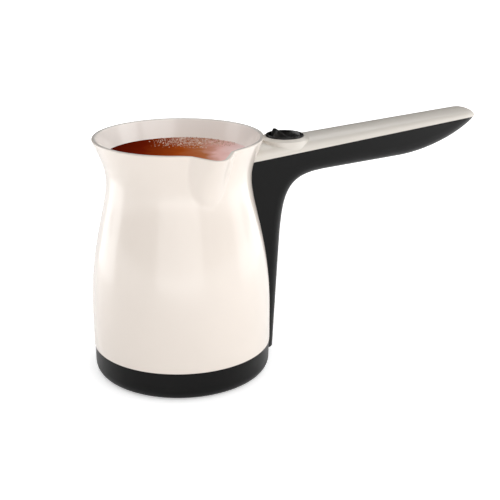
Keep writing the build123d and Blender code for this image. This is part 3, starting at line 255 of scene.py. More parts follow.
# ---- node helpers ----
def feed(tree, socket, value):
    """Links the value's node to the socket, or sets the socket to a plain value."""
    if isinstance(value, Number):
        value = value.socket
    if isinstance(value, bpy.types.NodeSocket):
        tree.links.new(value, socket)
    else:
        socket.default_value = value


def node(tree, kind, inputs=None, **settings):
    """New node with its settings made and its inputs fed."""
    made = tree.nodes.new(kind)
    for key, value in settings.items():
        setattr(made, key, value)
    for key, value in (inputs or {}).items():
        feed(tree, made.inputs[key], value)
    return made


class Number:
    """A number that nodes work out, so that a rule can be written as a plain sum."""

    def __init__(self, tree, socket):
        self.tree = tree
        self.socket = socket

    def maths(self, operation, *others, clamp=False):
        """The number after a Math node."""
        made = node(self.tree, "ShaderNodeMath", operation=operation, use_clamp=clamp)
        for socket, value in zip(made.inputs, (self, *others)):
            feed(self.tree, socket, value)
        return Number(self.tree, made.outputs[0])

    def __add__(self, other):
        return self.maths("ADD", other)

    def __sub__(self, other):
        return self.maths("SUBTRACT", other)

    def __mul__(self, other):
        return self.maths("MULTIPLY", other)

    def __truediv__(self, other):
        return self.maths("DIVIDE", other)

    def from_one(self):
        """One less the number."""
        return (self * -1) + 1

    def squared(self):
        """The number times itself."""
        return self * self

    def root(self):
        """Square root of the number, or 0 where it is negative."""
        return self.maths("MAXIMUM", 0).maths("SQRT")

    def clamped(self):
        """The number held between 0 and 1."""
        return self.maths("ADD", 0, clamp=True)


def axes(tree, place):
    """The three coordinates of a place, as numbers."""
    return [Number(tree, part) for part in node(tree, "ShaderNodeSeparateXYZ", {0: place}).outputs]


def along(x, y, direction):
    """How far a point lies along a level direction."""
    return x * direction.x + y * direction.y


def position(tree):
    """Place of each point in a geometry tree."""
    return tree.nodes.new("GeometryNodeInputPosition").outputs[0]


def seen(tree):
    """1 where the camera looks straight at the floor or the surroundings, and 0 elsewhere."""
    return Number(tree, tree.nodes.new("ShaderNodeLightPath").outputs["Is Camera Ray"])


def new_tree(name, inputs):
    """Geometry tree with named inputs; returns it, its ends and its inputs as numbers."""
    tree = bpy.data.node_groups.new(name, "GeometryNodeTree")
    tree.is_modifier = True
    tree.interface.new_socket("Geometry", in_out="INPUT", socket_type="NodeSocketGeometry")
    for label, kind in inputs.items():
        tree.interface.new_socket(label, in_out="INPUT", socket_type="NodeSocket" + kind)
    tree.interface.new_socket("Geometry", in_out="OUTPUT", socket_type="NodeSocketGeometry")
    entry, leave = tree.nodes.new("NodeGroupInput"), tree.nodes.new("NodeGroupOutput")
    given = {label: Number(tree, entry.outputs[label]) for label in inputs}
    return tree, entry, leave, given


def close_tree(tree, entry, leave, geometry):
    """Ends a tree in smooth shading, real instances and the material input."""
    smooth = node(tree, "GeometryNodeSetShadeSmooth", {"Geometry": geometry})
    real = node(tree, "GeometryNodeRealizeInstances", {"Geometry": smooth.outputs[0]})
    paint = {"Geometry": real.outputs[0], "Material": entry.outputs["Material"]}
    painted = node(tree, "GeometryNodeSetMaterial", paint)
    feed(tree, leave.inputs["Geometry"], painted.outputs[0])


# ---- mesh helpers ----
def placed(name, data):
    """New object of a mesh, light or camera, in the scene."""
    thing = bpy.data.objects.new(name, data)
    bpy.context.scene.collection.objects.link(thing)
    return thing


def mesh_of(name, points, faces):
    """New mesh of points and faces."""
    mesh = bpy.data.meshes.new(name)
    mesh.from_pydata(points, [], faces)
    return mesh


def opened(mesh):
    """Working copy of a mesh."""
    work = bmesh.new()
    work.from_mesh(mesh)
    return work


def written(work, mesh):
    """Writes a working copy to the mesh and lets the copy go."""
    work.to_mesh(mesh)
    work.free()
    return mesh


def evaluated(piece):
    """Plain mesh of a piece with its modifiers worked out."""
    depsgraph = bpy.context.evaluated_depsgraph_get()
    return bpy.data.meshes.new_from_object(piece.evaluated_get(depsgraph), depsgraph=depsgraph)


def grown(name, tree, base, values):
    """Object whose plain mesh a node tree makes from a base mesh, with the tree's inputs set."""
    piece = placed(name, base)
    modifier = piece.modifiers.new("Build", "NODES")
    modifier.node_group = tree
    inputs = [item for item in tree.interface.items_tree if item.in_out == "INPUT"]
    sockets = {item.name: item.identifier for item in inputs}
    for label, value in values.items():
        modifier[sockets[label]] = value
    mesh = evaluated(piece)
    piece.modifiers.clear()
    piece.data = mesh
    mesh.name = name
    return piece


def carved(piece, tool, operation):
    """Joins another solid to the piece or cuts it out, and takes that solid away."""
    modifier = piece.modifiers.new("Carve", "BOOLEAN")
    modifier.solver = "MANIFOLD"
    modifier.operation = operation
    modifier.object = tool
    mesh = evaluated(piece)
    if len(mesh.vertices) in (0, len(piece.data.vertices)):
        raise RuntimeError(f"{tool.name} didn't change {piece.name}")
    piece.modifiers.clear()
    piece.data = mesh
    bpy.data.objects.remove(tool)


def merged(name, pieces):
    """One piece made of several that don't touch, which are taken away."""
    work = bmesh.new()
    for piece in pieces:
        work.from_mesh(piece.data)
        bpy.data.objects.remove(piece)
    return placed(name, written(work, bpy.data.meshes.new(name)))


def outward(mesh):
    """Turns a closed mesh's faces to point out of its wall."""
    work = opened(mesh)
    if work.calc_volume(signed=True) < 0:
        bmesh.ops.reverse_faces(work, faces=work.faces)
    written(work, mesh)


def bezier(ends, share, inset=0.0):
    """Point (radius, height) of a cubic curve at a share of its run, its radius less the inset."""
    rest = 1 - share
    weights = (rest**3, 3 * rest**2 * share, 3 * rest * share**2, share**3)
    radius, height = (
        sum(weight * end[axis] for weight, end in zip(weights, ends)) for axis in (0, 1)
    )
    return (radius - inset, height)


def rounded(corners, steps=5):
    """Closed outline through (radius, height, wall, rounding) corners, each rounded by an arc."""
    outline = []
    for number, (x, z, wall, rounding) in enumerate(corners):
        here = Vector((x, z))
        if not rounding:
            outline.append((x, z, wall))
            continue
        before = (Vector(corners[number - 1][:2]) - here).normalized()
        after = (Vector(corners[(number + 1) % len(corners)][:2]) - here).normalized()
        half_turn = before.angle(after) / 2
        middle = here + (before + after).normalized() * (rounding / sin(half_turn))
        start = (here + before * (rounding / tan(half_turn)) - middle).normalized()
        end = (here + after * (rounding / tan(half_turn)) - middle).normalized()
        for step in range(steps + 1):
            outline.append((*(middle + start.slerp(end, step / steps) * rounding), wall))
    return outline


def profile_mesh(name, outline):
    """Points of an outline in the XZ plane, each with its depth into the wall as an attribute."""
    mesh = mesh_of(name, [(x * MM, 0, z * MM) for x, z, _ in outline], [])
    wall = mesh.attributes.new("wall", "FLOAT", "POINT")
    wall.data.foreach_set("value", [depth * MM for _, _, depth in outline])
    return mesh


def finished(piece, body, slot, *nodes):
    """Hands a piece over: it rides on the body and replaces the nodes; its slot is not used."""
    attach(piece, body)
    if nodes:
        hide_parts(*nodes)


# ---- finishes ----
CLOUD_SCALE = 22  # slow drift of a moulding's tone
GLOSS_SCALE = 160  # patches of a moulding's gloss


def new_finish(name):
    """Empty material; returns its tree, its shader and its object coordinates too."""
    material = bpy.data.materials.new(name)
    material.use_nodes = True
    tree = material.node_tree
    return material, tree, tree.nodes["Principled BSDF"], coordinates(tree)


def coordinates(tree):
    """The object's coordinates in a material."""
    return tree.nodes.new("ShaderNodeTexCoord").outputs["Object"]


def noise(tree, place, scale, detail=2.0, stretch=(1, 1, 1)):
    """Noise over the object's coordinates, stretched along its axes."""
    spread = node(tree, "ShaderNodeMapping", {"Vector": place, "Scale": stretch}).outputs[0]
    grain = {"Vector": spread, "Scale": scale, "Detail": detail, "Roughness": 0.55}
    return node(tree, "ShaderNodeTexNoise", grain).outputs["Fac"]


def shifted(tree, amount, low, high):
    """Noise turned into a number between low and high."""
    spread = {"Value": amount, "From Min": 0.3, "From Max": 0.7, "To Min": low, "To Max": high}
    return node(tree, "ShaderNodeMapRange", spread).outputs[0]


def between(tree, share, first, second):
    """Mix of two colours or colour sockets by a share from 0 to 1."""
    mix = node(tree, "ShaderNodeMix", {0: share, 6: first, 7: second}, data_type="RGBA")
    return mix.outputs[2]


def drifting(tree, amount, colour, drift):
    """The colour made darker or lighter by up to the drift, as the noise goes."""
    tones = [(*(min(part * gain, 1) for part in colour[:3]), 1) for gain in (1 - drift, 1 + drift)]
    return between(tree, shifted(tree, amount, 0, 1), *tones)


def bump(tree, shader, height, strength, distance):
    """Relief of the surface from a height, its distance in millimetres."""
    relief = {"Height": height, "Strength": strength, "Distance": distance * MM}
    feed(tree, shader.inputs["Normal"], node(tree, "ShaderNodeBump", relief).outputs[0])


def moulded(name, colour, roughness, coat=0.0, grain=900.0, depth=0.02, drift=0.06, gleam=0.5):
    """Moulded plastic: slight drift of tone, uneven gloss and a fine skin."""
    material, tree, shader, place = new_finish(name)
    tone = drifting(tree, noise(tree, place, CLOUD_SCALE), colour, drift)
    feed(tree, shader.inputs["Base Color"], tone)
    patches = noise(tree, place, GLOSS_SCALE)
    gloss = shifted(tree, patches, roughness * 0.95, roughness * 1.05)
    feed(tree, shader.inputs["Roughness"], gloss)
    bump(tree, shader, noise(tree, place, grain, 3), strength=0.35, distance=depth)
    shader.inputs["Specular IOR Level"].default_value = gleam
    shader.inputs["Coat Weight"].default_value = coat
    shader.inputs["Coat Roughness"].default_value = 0.06
    return material


def pot_finish(colours):
    """Pearl cream plastic, with painted light that makes it lighter inside the pot and painted
    shade that greys the crest of its lip.
    """
    look = {"coat": 0.5, "grain": 1500, "depth": 0.006, "drift": 0.015}
    material = moulded("pearl cream plastic", colours.cream, 0.24, **look)
    tree = material.node_tree
    shader = tree.nodes["Principled BSDF"]
    inside = node(tree, "ShaderNodeAttribute", attribute_name="inside").outputs["Fac"]
    height = axes(tree, coordinates(tree))[2]
    # painted shade: just under the top of the lip the colour is mixed towards the grey lip colour,
    # by up to 0.3
    crest_shade_low, crest_shade_high = (RIM[1] - 0.45) * MM, (RIM[1] - 0.1) * MM
    crest = {"Value": height, "From Min": crest_shade_low, "From Max": crest_shade_high, "To Max": 0.3}
    crest = node(tree, "ShaderNodeMapRange", crest).outputs[0]
    outer = shader.inputs["Base Color"].links[0].from_socket
    # painted light: the inner side of the wall takes the lighter inner cream
    walls_with_painted_light = between(tree, inside, outer, colours.inner)
    feed(tree, shader.inputs["Base Color"], between(tree, crest, walls_with_painted_light, colours.lip))
    return material


def metal(name, colour, roughness, scale, depth, drift=0.1, stretch=(1, 1, 1), spun=False):
    """Bare or plated metal: drawn, rolled or spun marks in tone, gloss and relief."""
    material, tree, shader, place = new_finish(name)
    if spun:
        x, y, height = axes(tree, place)
        radius = (x.squared() + y.squared()).root()
        place = node(tree, "ShaderNodeCombineXYZ", {0: radius, 2: height}).outputs[0]
    marks = noise(tree, place, scale, 4, stretch)
    feed(tree, shader.inputs["Base Color"], drifting(tree, marks, colour, drift))
    gloss = shifted(tree, marks, roughness * 0.75, roughness * 1.25)
    feed(tree, shader.inputs["Roughness"], gloss)
    bump(tree, shader, marks, strength=0.4, distance=depth)
    shader.inputs["Metallic"].default_value = 1.0
    return material


def soft(name, colour, roughness, grain=1400.0, depth=0.04, sheen=0.0):
    """Rubber or silicone: matt, with a fine moulded grain."""
    material = moulded(name, colour, roughness, grain=grain, depth=depth, drift=0.1)
    shader = material.node_tree.nodes["Principled BSDF"]
    shader.inputs["Sheen Weight"].default_value = sheen
    return material


def striped(name, first, second):
    """Insulation in two colours that run along the lead."""
    material, tree, shader, place = new_finish(name)
    wave = {"Vector": place, "Scale": 420.0, "Distortion": 0.4}
    bands = node(tree, "ShaderNodeTexWave", wave, bands_direction="DIAGONAL").outputs["Fac"]
    edge = {"Value": bands, "From Min": 0.45, "From Max": 0.55}
    edge = node(tree, "ShaderNodeMapRange", edge).outputs[0]
    feed(tree, shader.inputs["Base Color"], between(tree, edge, first, second))
    feed(tree, shader.inputs["Roughness"], shifted(tree, noise(tree, place, 900), 0.4, 0.55))
    return material


def plastics(colours):
    """Finishes of the moulded pieces, by their slots."""
    satin = {"grain": 1700, "depth": 0.012, "drift": 0.12, "gleam": 0.16}
    gloss = {"coat": 0.15, "grain": 1200, "depth": 0.004, "drift": 0.08, "gleam": 0.2}
    brown = {"grain": 1200, "depth": 0.02, "drift": 0.25}
    plain = {"grain": 1100, "depth": 0.015, "drift": 0.04}
    return {
        "pot_plastic": pot_finish(colours),
        "black_plastic": moulded("satin black plastic", colours.black, 0.36, **satin),
        "switch_plastic": moulded("gloss black plastic", colours.switch, 0.16, **gloss),
        "phenolic": moulded("brown phenolic", (0.055, 0.022, 0.012), 0.42, **brown),
        "block_plastic": moulded("natural polyamide", (0.70, 0.67, 0.58), 0.38, **plain),
    }


def metals():
    """Finishes of the metal pieces, by their slots."""
    spun, drawn = {"spun": True}, {"stretch": (1, 0.1, 1)}
    rolled, strip = {"stretch": (1, 8, 1)}, {"stretch": (1, 10, 1)}
    # name, colour, roughness, then scale, depth in millimetres and drift of tone of the marks
    return {
        "plate_steel": metal("spun stainless steel", (0.66, 0.65, 0.63), 0.22, 1500, 0.01, **spun),
        "zinc_steel": metal("zinc-plated steel", (0.56, 0.58, 0.58), 0.34, 260, 0.01, 0.16),
        "spreader_aluminium": metal("cast aluminium", (0.67, 0.67, 0.68), 0.46, 900, 0.05),
        "element_steel": metal("heat-toned sheath", (0.33, 0.29, 0.26), 0.42, 140, 0.02, 0.3),
        "terminal_brass": metal("tinned brass", (0.72, 0.60, 0.34), 0.28, 700, 0.01),
        "bimetal": metal("bimetal sheet", (0.55, 0.52, 0.47), 0.3, 300, 0.01, **rolled),
        "fuse_case": metal("tinned case", (0.60, 0.57, 0.52), 0.3, 900, 0.01, **drawn),
        "screw_steel": metal("screw steel", (0.62, 0.62, 0.60), 0.3, 900, 0.01, 0.14),
        "spring_steel": metal("drawn wire", (0.42, 0.42, 0.43), 0.28, 2200, 0.005),
        "contact_copper": metal("copper strip", (0.72, 0.37, 0.20), 0.27, 320, 0.01, **strip),
        "contact_silver": metal("silver contact", (0.80, 0.80, 0.79), 0.22, 1500, 0.01),
    }


def rubbers():
    """Finishes of the soft pieces and of the leads, by their slots."""
    return {
        "bead_silicone": soft("sealing bead", (0.60, 0.56, 0.49), 0.6),
        "seal_silicone": soft("grey silicone", (0.56, 0.54, 0.50), 0.5),
        "foot_rubber": soft("foot rubber", (0.02, 0.02, 0.02), 0.75, 1100, 0.06, 0.15),
        "bush_rubber": soft("soft black plastic", (0.014, 0.014, 0.014), 0.52, 1300, 0.03),
        "lead_brown": soft("brown sleeve", (0.085, 0.030, 0.012), 0.5),
        "lead_white": soft("white sleeve", (0.70, 0.68, 0.62), 0.5),
        "lead_blue": soft("blue sleeve", (0.016, 0.075, 0.32), 0.5),
        "lead_green": striped(
            "green and yellow sleeve", (0.05, 0.30, 0.05, 1), (0.75, 0.62, 0.03, 1)
        ),
    }


class COFFEEPOT_OT_finishes(bpy.types.Operator):
    """Gives every piece of the frame the finish that its material slot names, but the handle cover
    a darker cream that paints in shade
    """

    bl_idname = "coffeepot.finishes"
    bl_label = "Finish the Pieces"

    def execute(self, context):
        colours = context.scene.coffeepot_colours
        finishes = {**plastics(colours), **metals(), **rubbers()}
        # painted shade: the handle cover takes a darker cream than the pot it shares its plastic
        # with
        satin = {"coat": 0.3, "grain": 1500, "depth": 0.006, "drift": 0.015}
        cover = moulded("satin cream plastic", colours.cover, 0.3, **satin)
        for subpart in frame["record"]["subparts"]:
            name = subpart["node"]
            material = cover if name == "handle_cover" else finishes[subpart["material_slot"]]
            for slot in frame["nodes"][name].material_slots:
                slot.link = "OBJECT"
                slot.material = material
        return {"FINISHED"}


# ---- pot shell ----
def pot_outline(wall):
    """Closed outline of the pot's wall, from its seam up the outside, over the lip and down."""
    shoulder = [share / 40 for share in range(1, 41)]
    flare = [share / 18 for share in range(1, 18)]
    outer = [(*SEAM, 0, 0.6), *((BELLY[0], height, 0, 0) for height in (20, 27, BELLY[1]))]
    outer += [(*bezier(SHOULDER, share), 0, 0) for share in shoulder]
    outer += [(*bezier(FLARE, share), 0, 0) for share in flare]
    lip = [(*RIM, 0, LIP_ROUNDING), (RIM[0] - wall, RIM[1], wall, LIP_ROUNDING)]
    inner = [(*bezier(FLARE, share, wall), wall, 0) for share in reversed(flare)]
    inner += [(*bezier(SHOULDER, share, wall), wall, 0) for share in reversed(shoulder)]
    inner += [(BELLY[0] - wall, BELLY[1], wall, 0), (BELLY[0] - wall, FLANGE_TOP, wall, 2.0)]
    flange = [(radius, FLANGE_TOP, wall, 0) for radius in (40, 36)]
    flange += [(BOTTOM_HOLE_RADIUS, FLANGE_TOP, wall, 0.4)]
    flange += [(BOTTOM_HOLE_RADIUS, FLANGE_UNDERSIDE, wall, 0.3)]
    flange += [(39, FLANGE_UNDERSIDE, wall, 0), (SKIRT_RADIUS, FLANGE_UNDERSIDE, wall, 0.5)]
    skirt = [(SKIRT_RADIUS, 22, wall, 0), (SKIRT_RADIUS, REBATE[1], wall, 0.1)]
    skirt += [(*REBATE, wall, 0.1), (REBATE[0], SEAM[1], wall, 0.1)]
    return rounded(outer + lip + inner + flange + skirt)


def pot_tree():
    """Tree that turns an outline round the pot's axis and pushes the beak out of it."""
    lengths = ("Rim Height", "Beak Reach", "Beak Half Width", "Beak Depth", "Beak Tip Radius")
    lengths += ("Beak Blend", "Lip Dip")
    inputs = {"Columns": "Int", **dict.fromkeys(lengths, "Float"), "Material": "Material"}
    tree, entry, leave, given = new_tree("Turned Pot With Beak", inputs)
    outline = entry.outputs["Geometry"]
    tiny = 0.0001
    least_half_squared = 0.08  # share of the half width's square that is left where the beak ends
    tip_on_flank = 0.7  # most of a flank that the tip's rounding may take up
    sink = 0.4 * MM  # how far the beak draws back into the wall towards its foot
    forward = 0.1  # least part ahead of a ray that may meet the beak
    least_blend = 0.01 * MM
    lip_spread = 1.5  # half width over which the lip dips, in half widths of the beak
    lip_zone = 14 * MM  # height below the rim in which the wall follows the lip

    def sampled(kind, value, place):
        source = {"Geometry": outline, "Value": value, "Index": place}
        return node(
            tree, "GeometryNodeSampleIndex", source, data_type=kind, domain="POINT"
        ).outputs[0]

    count = node(tree, "GeometryNodeAttributeDomainSize", {"Geometry": outline})
    points = Number(tree, count.outputs["Point Count"])
    columns = given["Columns"]
    spans = {"Vertices X": points + 1, "Vertices Y": columns + 1}
    grid = node(tree, "GeometryNodeMeshGrid", spans)
    index = Number(tree, tree.nodes.new("GeometryNodeInputIndex").outputs[0])
    row = (index / (columns + 1)).maths("FLOOR")
    turn = (index - row * (columns + 1)) * (2 * pi) / columns
    place = row.maths("MODULO", points)
    radius, _, height = axes(tree, sampled("FLOAT_VECTOR", position(tree), place))
    depths = node(tree, "GeometryNodeInputNamedAttribute", {"Name": "wall"}, data_type="FLOAT")
    wall = Number(tree, sampled("FLOAT", depths.outputs[0], place))
    # the beak's tip is in line with -Y; ahead and aside are the ray's parts along and across it
    ahead = turn.maths("SINE") * -1
    aside = turn.maths("COSINE").maths("ABSOLUTE").maths("MAXIMUM", tiny)
    # at each height the beak's level section is two straight flanks and a rounded tip
    share = ((given["Rim Height"] - height) / given["Beak Depth"]).clamped()
    side = radius + wall
    fade = (share * share.squared()).from_one().maths("MAXIMUM", least_half_squared).root()
    half = given["Beak Half Width"] * fade
    base = (side.squared() - half.squared()).root()
    point = side + given["Beak Reach"] * share.squared().from_one()
    opening = half.maths("ARCTAN2", point - base)
    flank = (half.squared() + (point - base).squared()).root()
    rounding = given["Beak Tip Radius"] * (share + 1)
    rounding = rounding.maths("MINIMUM", flank * opening.maths("TANGENT") * tip_on_flank) - wall
    point = point - wall / opening.maths("SINE")
    base = base - wall
    half = (point - base) * opening.maths("TANGENT")
    line = point / (ahead + (point - base) / half * aside).maths("MAXIMUM", tiny)
    middle = point - rounding / opening.maths("SINE")
    arc = middle * ahead + (rounding.squared() - (middle * aside).squared()).root()
    on_arc = (line * aside).maths("LESS_THAN", rounding * opening.maths("COSINE"))
    wedge = (arc * on_arc + line * on_arc.from_one()).maths("MINIMUM", half / aside)
    wedge = (wedge - share.squared() * sink) * ahead.maths("GREATER_THAN", forward)
    blend = given["Beak Blend"] * share.squared().from_one() + least_blend
    pushed = radius.maths("SMOOTH_MAX", wedge, blend)
    # the lip drops towards the tip, and the wall below it goes along
    across = ((pushed * aside) / (given["Beak Half Width"] * lip_spread)).maths("MINIMUM", 1)
    in_front = ahead.maths("GREATER_THAN", 0)
    drop = ((across * pi).maths("COSINE") + 1) * 0.5 * given["Lip Dip"] * in_front
    near_lip = ((height - given["Rim Height"] + lip_zone) / lip_zone).clamped()
    lowered = height - drop * near_lip.squared()
    target = {0: pushed * turn.maths("COSINE"), 1: pushed * turn.maths("SINE"), 2: lowered}
    target = node(tree, "ShaderNodeCombineXYZ", target).outputs[0]
    moved = {"Geometry": grid.outputs[0], "Position": target}
    shell = node(tree, "GeometryNodeSetPosition", moved).outputs[0]
    # marks the inner side of the wall, which the finish paints lighter as painted light
    inner_side = wall.maths("GREATER_THAN", 0.5 * MM)
    mark = {"Geometry": shell, "Name": "inside", "Value": inner_side}
    kind = {"data_type": "FLOAT", "domain": "POINT"}
    marked = node(tree, "GeometryNodeStoreNamedAttribute", mark, **kind).outputs[0]
    seam = {"Geometry": marked, "Distance": 0.000001}
    close_tree(tree, entry, leave, node(tree, "GeometryNodeMergeByDistance", seam).outputs[0])
    return tree


def ring_tree():
    """Tree that stands posts in a ring, each tied outwards by a rib."""
    lengths = ("Start", "Ring Radius", "Post Radius", "Low", "High")
    lengths += ("Rib Low", "Rib Length", "Rib Thickness", "Rib Below Top")
    inputs = {"Count": "Int", **dict.fromkeys(lengths, "Float"), "Material": "Material"}
    tree, entry, leave, given = new_tree("Ring Of Posts", inputs)

    def shift(solid, place):
        spot = node(tree, "ShaderNodeCombineXYZ", place).outputs[0]
        moved = {"Geometry": solid.outputs[0], "Translation": spot}
        return node(tree, "GeometryNodeTransform", moved).outputs[0]

    height = given["High"] - given["Low"]
    post = {"Vertices": 48, "Radius": given["Post Radius"], "Depth": height}
    post = node(tree, "GeometryNodeMeshCylinder", post)
    post = shift(post, {2: given["Low"] + height * 0.5})
    rise = given["High"] - given["Rib Low"] - given["Rib Below Top"]
    block = {0: given["Rib Length"], 1: given["Rib Thickness"], 2: rise}
    block = node(tree, "ShaderNodeCombineXYZ", block).outputs[0]
    rib = node(tree, "GeometryNodeMeshCube", {"Size": block})
    rib = shift(rib, {0: given["Rib Length"] * 0.5, 2: given["Rib Low"] + rise * 0.5})
    tied = node(tree, "GeometryNodeMeshBoolean", operation="UNION")
    for solid in (post, rib):
        tree.links.new(solid, tied.inputs["Mesh 2"])
    circle = {"Vertices": given["Count"], "Radius": given["Ring Radius"]}
    circle = node(tree, "GeometryNodeMeshCircle", circle).outputs[0]
    start = node(tree, "ShaderNodeCombineXYZ", {2: given["Start"]}).outputs[0]
    turned = {"Geometry": circle, "Rotation": start}
    ring = node(tree, "GeometryNodeTransform", turned).outputs[0]
    x, y, _ = axes(tree, position(tree))
    outwards = node(tree, "ShaderNodeCombineXYZ", {2: y.maths("ARCTAN2", x)}).outputs[0]
    posts = {"Points": ring, "Instance": tied.outputs[0], "Rotation": outwards}
    posts = node(tree, "GeometryNodeInstanceOnPoints", posts).outputs[0]
    close_tree(tree, entry, leave, posts)
    return tree


def ring_of_posts(name, tree, start, low):
    """Ring of screw posts under the pot's flange."""
    values = {
        "Count": 3,
        "Start": radians(start),
        "Ring Radius": POST_RING_RADIUS * MM,
        "Post Radius": POST_RADIUS * MM,
        "Low": low * MM,
        "High": 29.25 * MM,
        "Rib Low": 25.35 * MM,
        "Rib Length": 5.45 * MM,
        "Rib Thickness": 1.6 * MM,
        "Rib Below Top": 0.25 * MM,
        "Material": bpy.data.materials["pearl cream plastic"],
    }
    return grown(name, tree, bpy.data.meshes.new(name), values)


def solid_blocks(name, rods, boxes=()):
    """Piece of separate rods (start, end, radius) and boxes (low corner, high corner), in mm."""
    work = bmesh.new()
    for start, end, radius in rods:
        start, end, radius = Vector(start) * MM, Vector(end) * MM, radius * MM
        turned = (end - start).to_track_quat("Z", "Y").to_matrix().to_4x4()
        place = Matrix.Translation((start + end) / 2) @ turned
        size = {"radius1": radius, "radius2": radius, "depth": (end - start).length}
        bmesh.ops.create_cone(work, cap_ends=True, segments=48, matrix=place, **size)
    for low, high in boxes:
        low, high = Vector(low) * MM, Vector(high) * MM
        place = Matrix.LocRotScale((low + high) / 2, None, high - low)
        bmesh.ops.create_cube(work, size=1, matrix=place)
    return placed(name, written(work, bpy.data.meshes.new(name)))


def neck_rods(start, end, radius):
    """The same level rod in each of the two screw posts of the neck, by its ends along X."""
    places = [(side * NECK_POST_ASIDE, NECK_POST_HEIGHT) for side in (1, -1)]
    return [((start, *place), (end, *place), radius) for place in places]


def ring_rods(at, low, high, radius):
    """The same upright rod in each of a ring's three posts, by its heights."""
    turns = [radians(at + 120 * number) for number in range(3)]
    places = [(POST_RING_RADIUS * cos(turn), POST_RING_RADIUS * sin(turn)) for turn in turns]
    return [((*place, low), (*place, high), radius) for place in places]


def fixings(shell):
    """Gives the pot its screw posts and pilot holes, the window for the leads and the slots."""
    tree = ring_tree()
    clamp_posts = ring_of_posts("clamp posts", tree, CLAMP_POSTS_AT, low=25.2)
    base_posts = ring_of_posts("base posts", tree, BASE_POSTS_AT, low=6.0)
    neck_posts = solid_blocks("neck posts", neck_rods(35.4, 43.8, POST_RADIUS))
    carved(shell, merged("pot posts", (clamp_posts, base_posts, neck_posts)), "UNION")
    holes = neck_rods(38.15, 44.5, PILOT_RADIUS)
    holes += ring_rods(CLAMP_POSTS_AT, 24.5, 29.15, PILOT_RADIUS)
    holes += ring_rods(BASE_POSTS_AT, 5.5, 14.1, PILOT_RADIUS)
    openings = [LEAD_WINDOW]
    for middle in (SLOT_ASIDE, -SLOT_ASIDE):
        near, far = middle - SLOT_HALF_WIDTH, middle + SLOT_HALF_WIDTH
        openings.append(((36.2, near, 18.85), (48.8, far, 23.95)))
    carved(shell, solid_blocks("pot openings", holes, openings), "DIFFERENCE")
    work = opened(shell.data)
    bmesh.ops.dissolve_degenerate(work, dist=1e-6, edges=work.edges)
    written(work, shell.data)
    shell.data.set_sharp_from_angle(angle=radians(40))


class COFFEEPOT_OT_pot_shell(bpy.types.Operator):
    """Turns the pot's wall, pushes its pouring beak out and gives it its posts and openings"""

    bl_idname = "coffeepot.pot_shell"
    bl_label = "Make the Pot Shell"

    def execute(self, context):
        sizes = context.scene.coffeepot_sizes
        base = profile_mesh("pot outline", pot_outline(sizes.wall / MM))
        values = {
            "Columns": sizes.columns,
            "Rim Height": RIM[1] * MM,
            "Beak Reach": sizes.beak_reach,
            "Beak Half Width": sizes.beak_half,
            "Beak Depth": sizes.beak_depth,
            "Beak Tip Radius": sizes.beak_tip,
            "Beak Blend": sizes.beak_blend,
            "Lip Dip": sizes.lip_dip,
            "Material": bpy.data.materials["pearl cream plastic"],
        }
        shell = grown("pot_shell", pot_tree(), base, values)
        outward(shell.data)
        fixings(shell)
        finished(shell, "body", "pot_plastic", "pot_body")
        return {"FINISHED"}


# ---- coffee ----
COFFEE_WIDTH = 74 * MM
COFFEE_TONES = (
    (0.0, (0.07, 0.004, 0.001, 1)),
    (0.25, (0.14, 0.010, 0.002, 1)),
    (0.5, (0.34, 0.06, 0.008, 1)),
    (0.66, (0.42, 0.14, 0.055, 1)),
    (0.78, (0.76, 0.46, 0.42, 1)),
    (1.0, (0.94, 0.76, 0.75, 1)),
)


def coffee_finish():
    """Brewed coffee: dark on one side, brown in the middle and creamy foam on the other."""
    material, tree, shader, place = new_finish("coffee")
    x, y, _ = axes(tree, place)
    across = along(x, y, CAMERA_RIGHT) / COFFEE_WIDTH + 0.5
    swirl = Number(tree, noise(tree, place, 90, 3)) - 0.5
    ramp = node(tree, "ShaderNodeValToRGB", {"Fac": across + swirl * 0.22})
    tones = ramp.color_ramp.elements
    while len(tones) < len(COFFEE_TONES):
        tones.new(0.5)
    for tone, (spot, colour) in zip(tones, COFFEE_TONES):
        tone.position = spot
        tone.color = colour
    feed(tree, shader.inputs["Base Color"], ramp.outputs[0])
    froth = node(tree, "ShaderNodeTexVoronoi", {"Vector": place, "Scale": 1100.0})
    bump(tree, shader, froth.outputs[0], strength=0.25, distance=0.1)
    feed(tree, shader.inputs["Roughness"], shifted(tree, noise(tree, place, 200), 0.16, 0.34))
    shader.inputs["Specular IOR Level"].default_value = 0.0
    return material


def bubble_finish():
    """Thin film of a bubble on coffee."""
    material, tree, shader, place = new_finish("coffee bubble")
    share = shifted(tree, noise(tree, place, 400), 0, 1)
    tone = between(tree, share, (0.42, 0.15, 0.07, 1), (0.85, 0.68, 0.58, 1))
    feed(tree, shader.inputs["Base Color"], tone)
    shader.inputs["Roughness"].default_value = 0.12
    return material


def coffee_surface(shell, level):
    """Mesh of the coffee's surface, from the axis out to the pot's wall, where it creeps up."""
    inside = BVHTree.FromObject(shell, bpy.context.evaluated_depsgraph_get())
    spokes = 360
    rings = (0.15, 0.4, 0.65, 0.85, 0.95, 0.985, 1.0)
    creep_from, creep, overlap = 0.95, 0.35 * MM, 0.3 * MM
    middle = Vector((0, 0, level))
    points = [middle]
    for ring in rings:
        rise = Vector((0, 0, creep * max(ring - creep_from, 0) / (1 - creep_from)))
        for spoke in range(spokes):
            turn = 2 * pi * spoke / spokes
            way = Vector((cos(turn), sin(turn), 0))
            reach = inside.ray_cast(middle, way)[3]
            if reach is None:
                raise RuntimeError("the coffee's surface doesn't meet the pot's wall")
            points.append(middle + way * (reach * ring + overlap * (ring == 1.0)) + rise)
    faces = [(0, 1 + spoke, 1 + (spoke + 1) % spokes) for spoke in range(spokes)]
    for ring in range(len(rings) - 1):
        low, high = 1 + ring * spokes, 1 + (ring + 1) * spokes
        for spoke in range(spokes):
            after = (spoke + 1) % spokes
            faces.append((low + spoke, high + spoke, high + after, low + after))
    mesh = mesh_of("coffee", points, faces)
    mesh.shade_smooth()
    return mesh


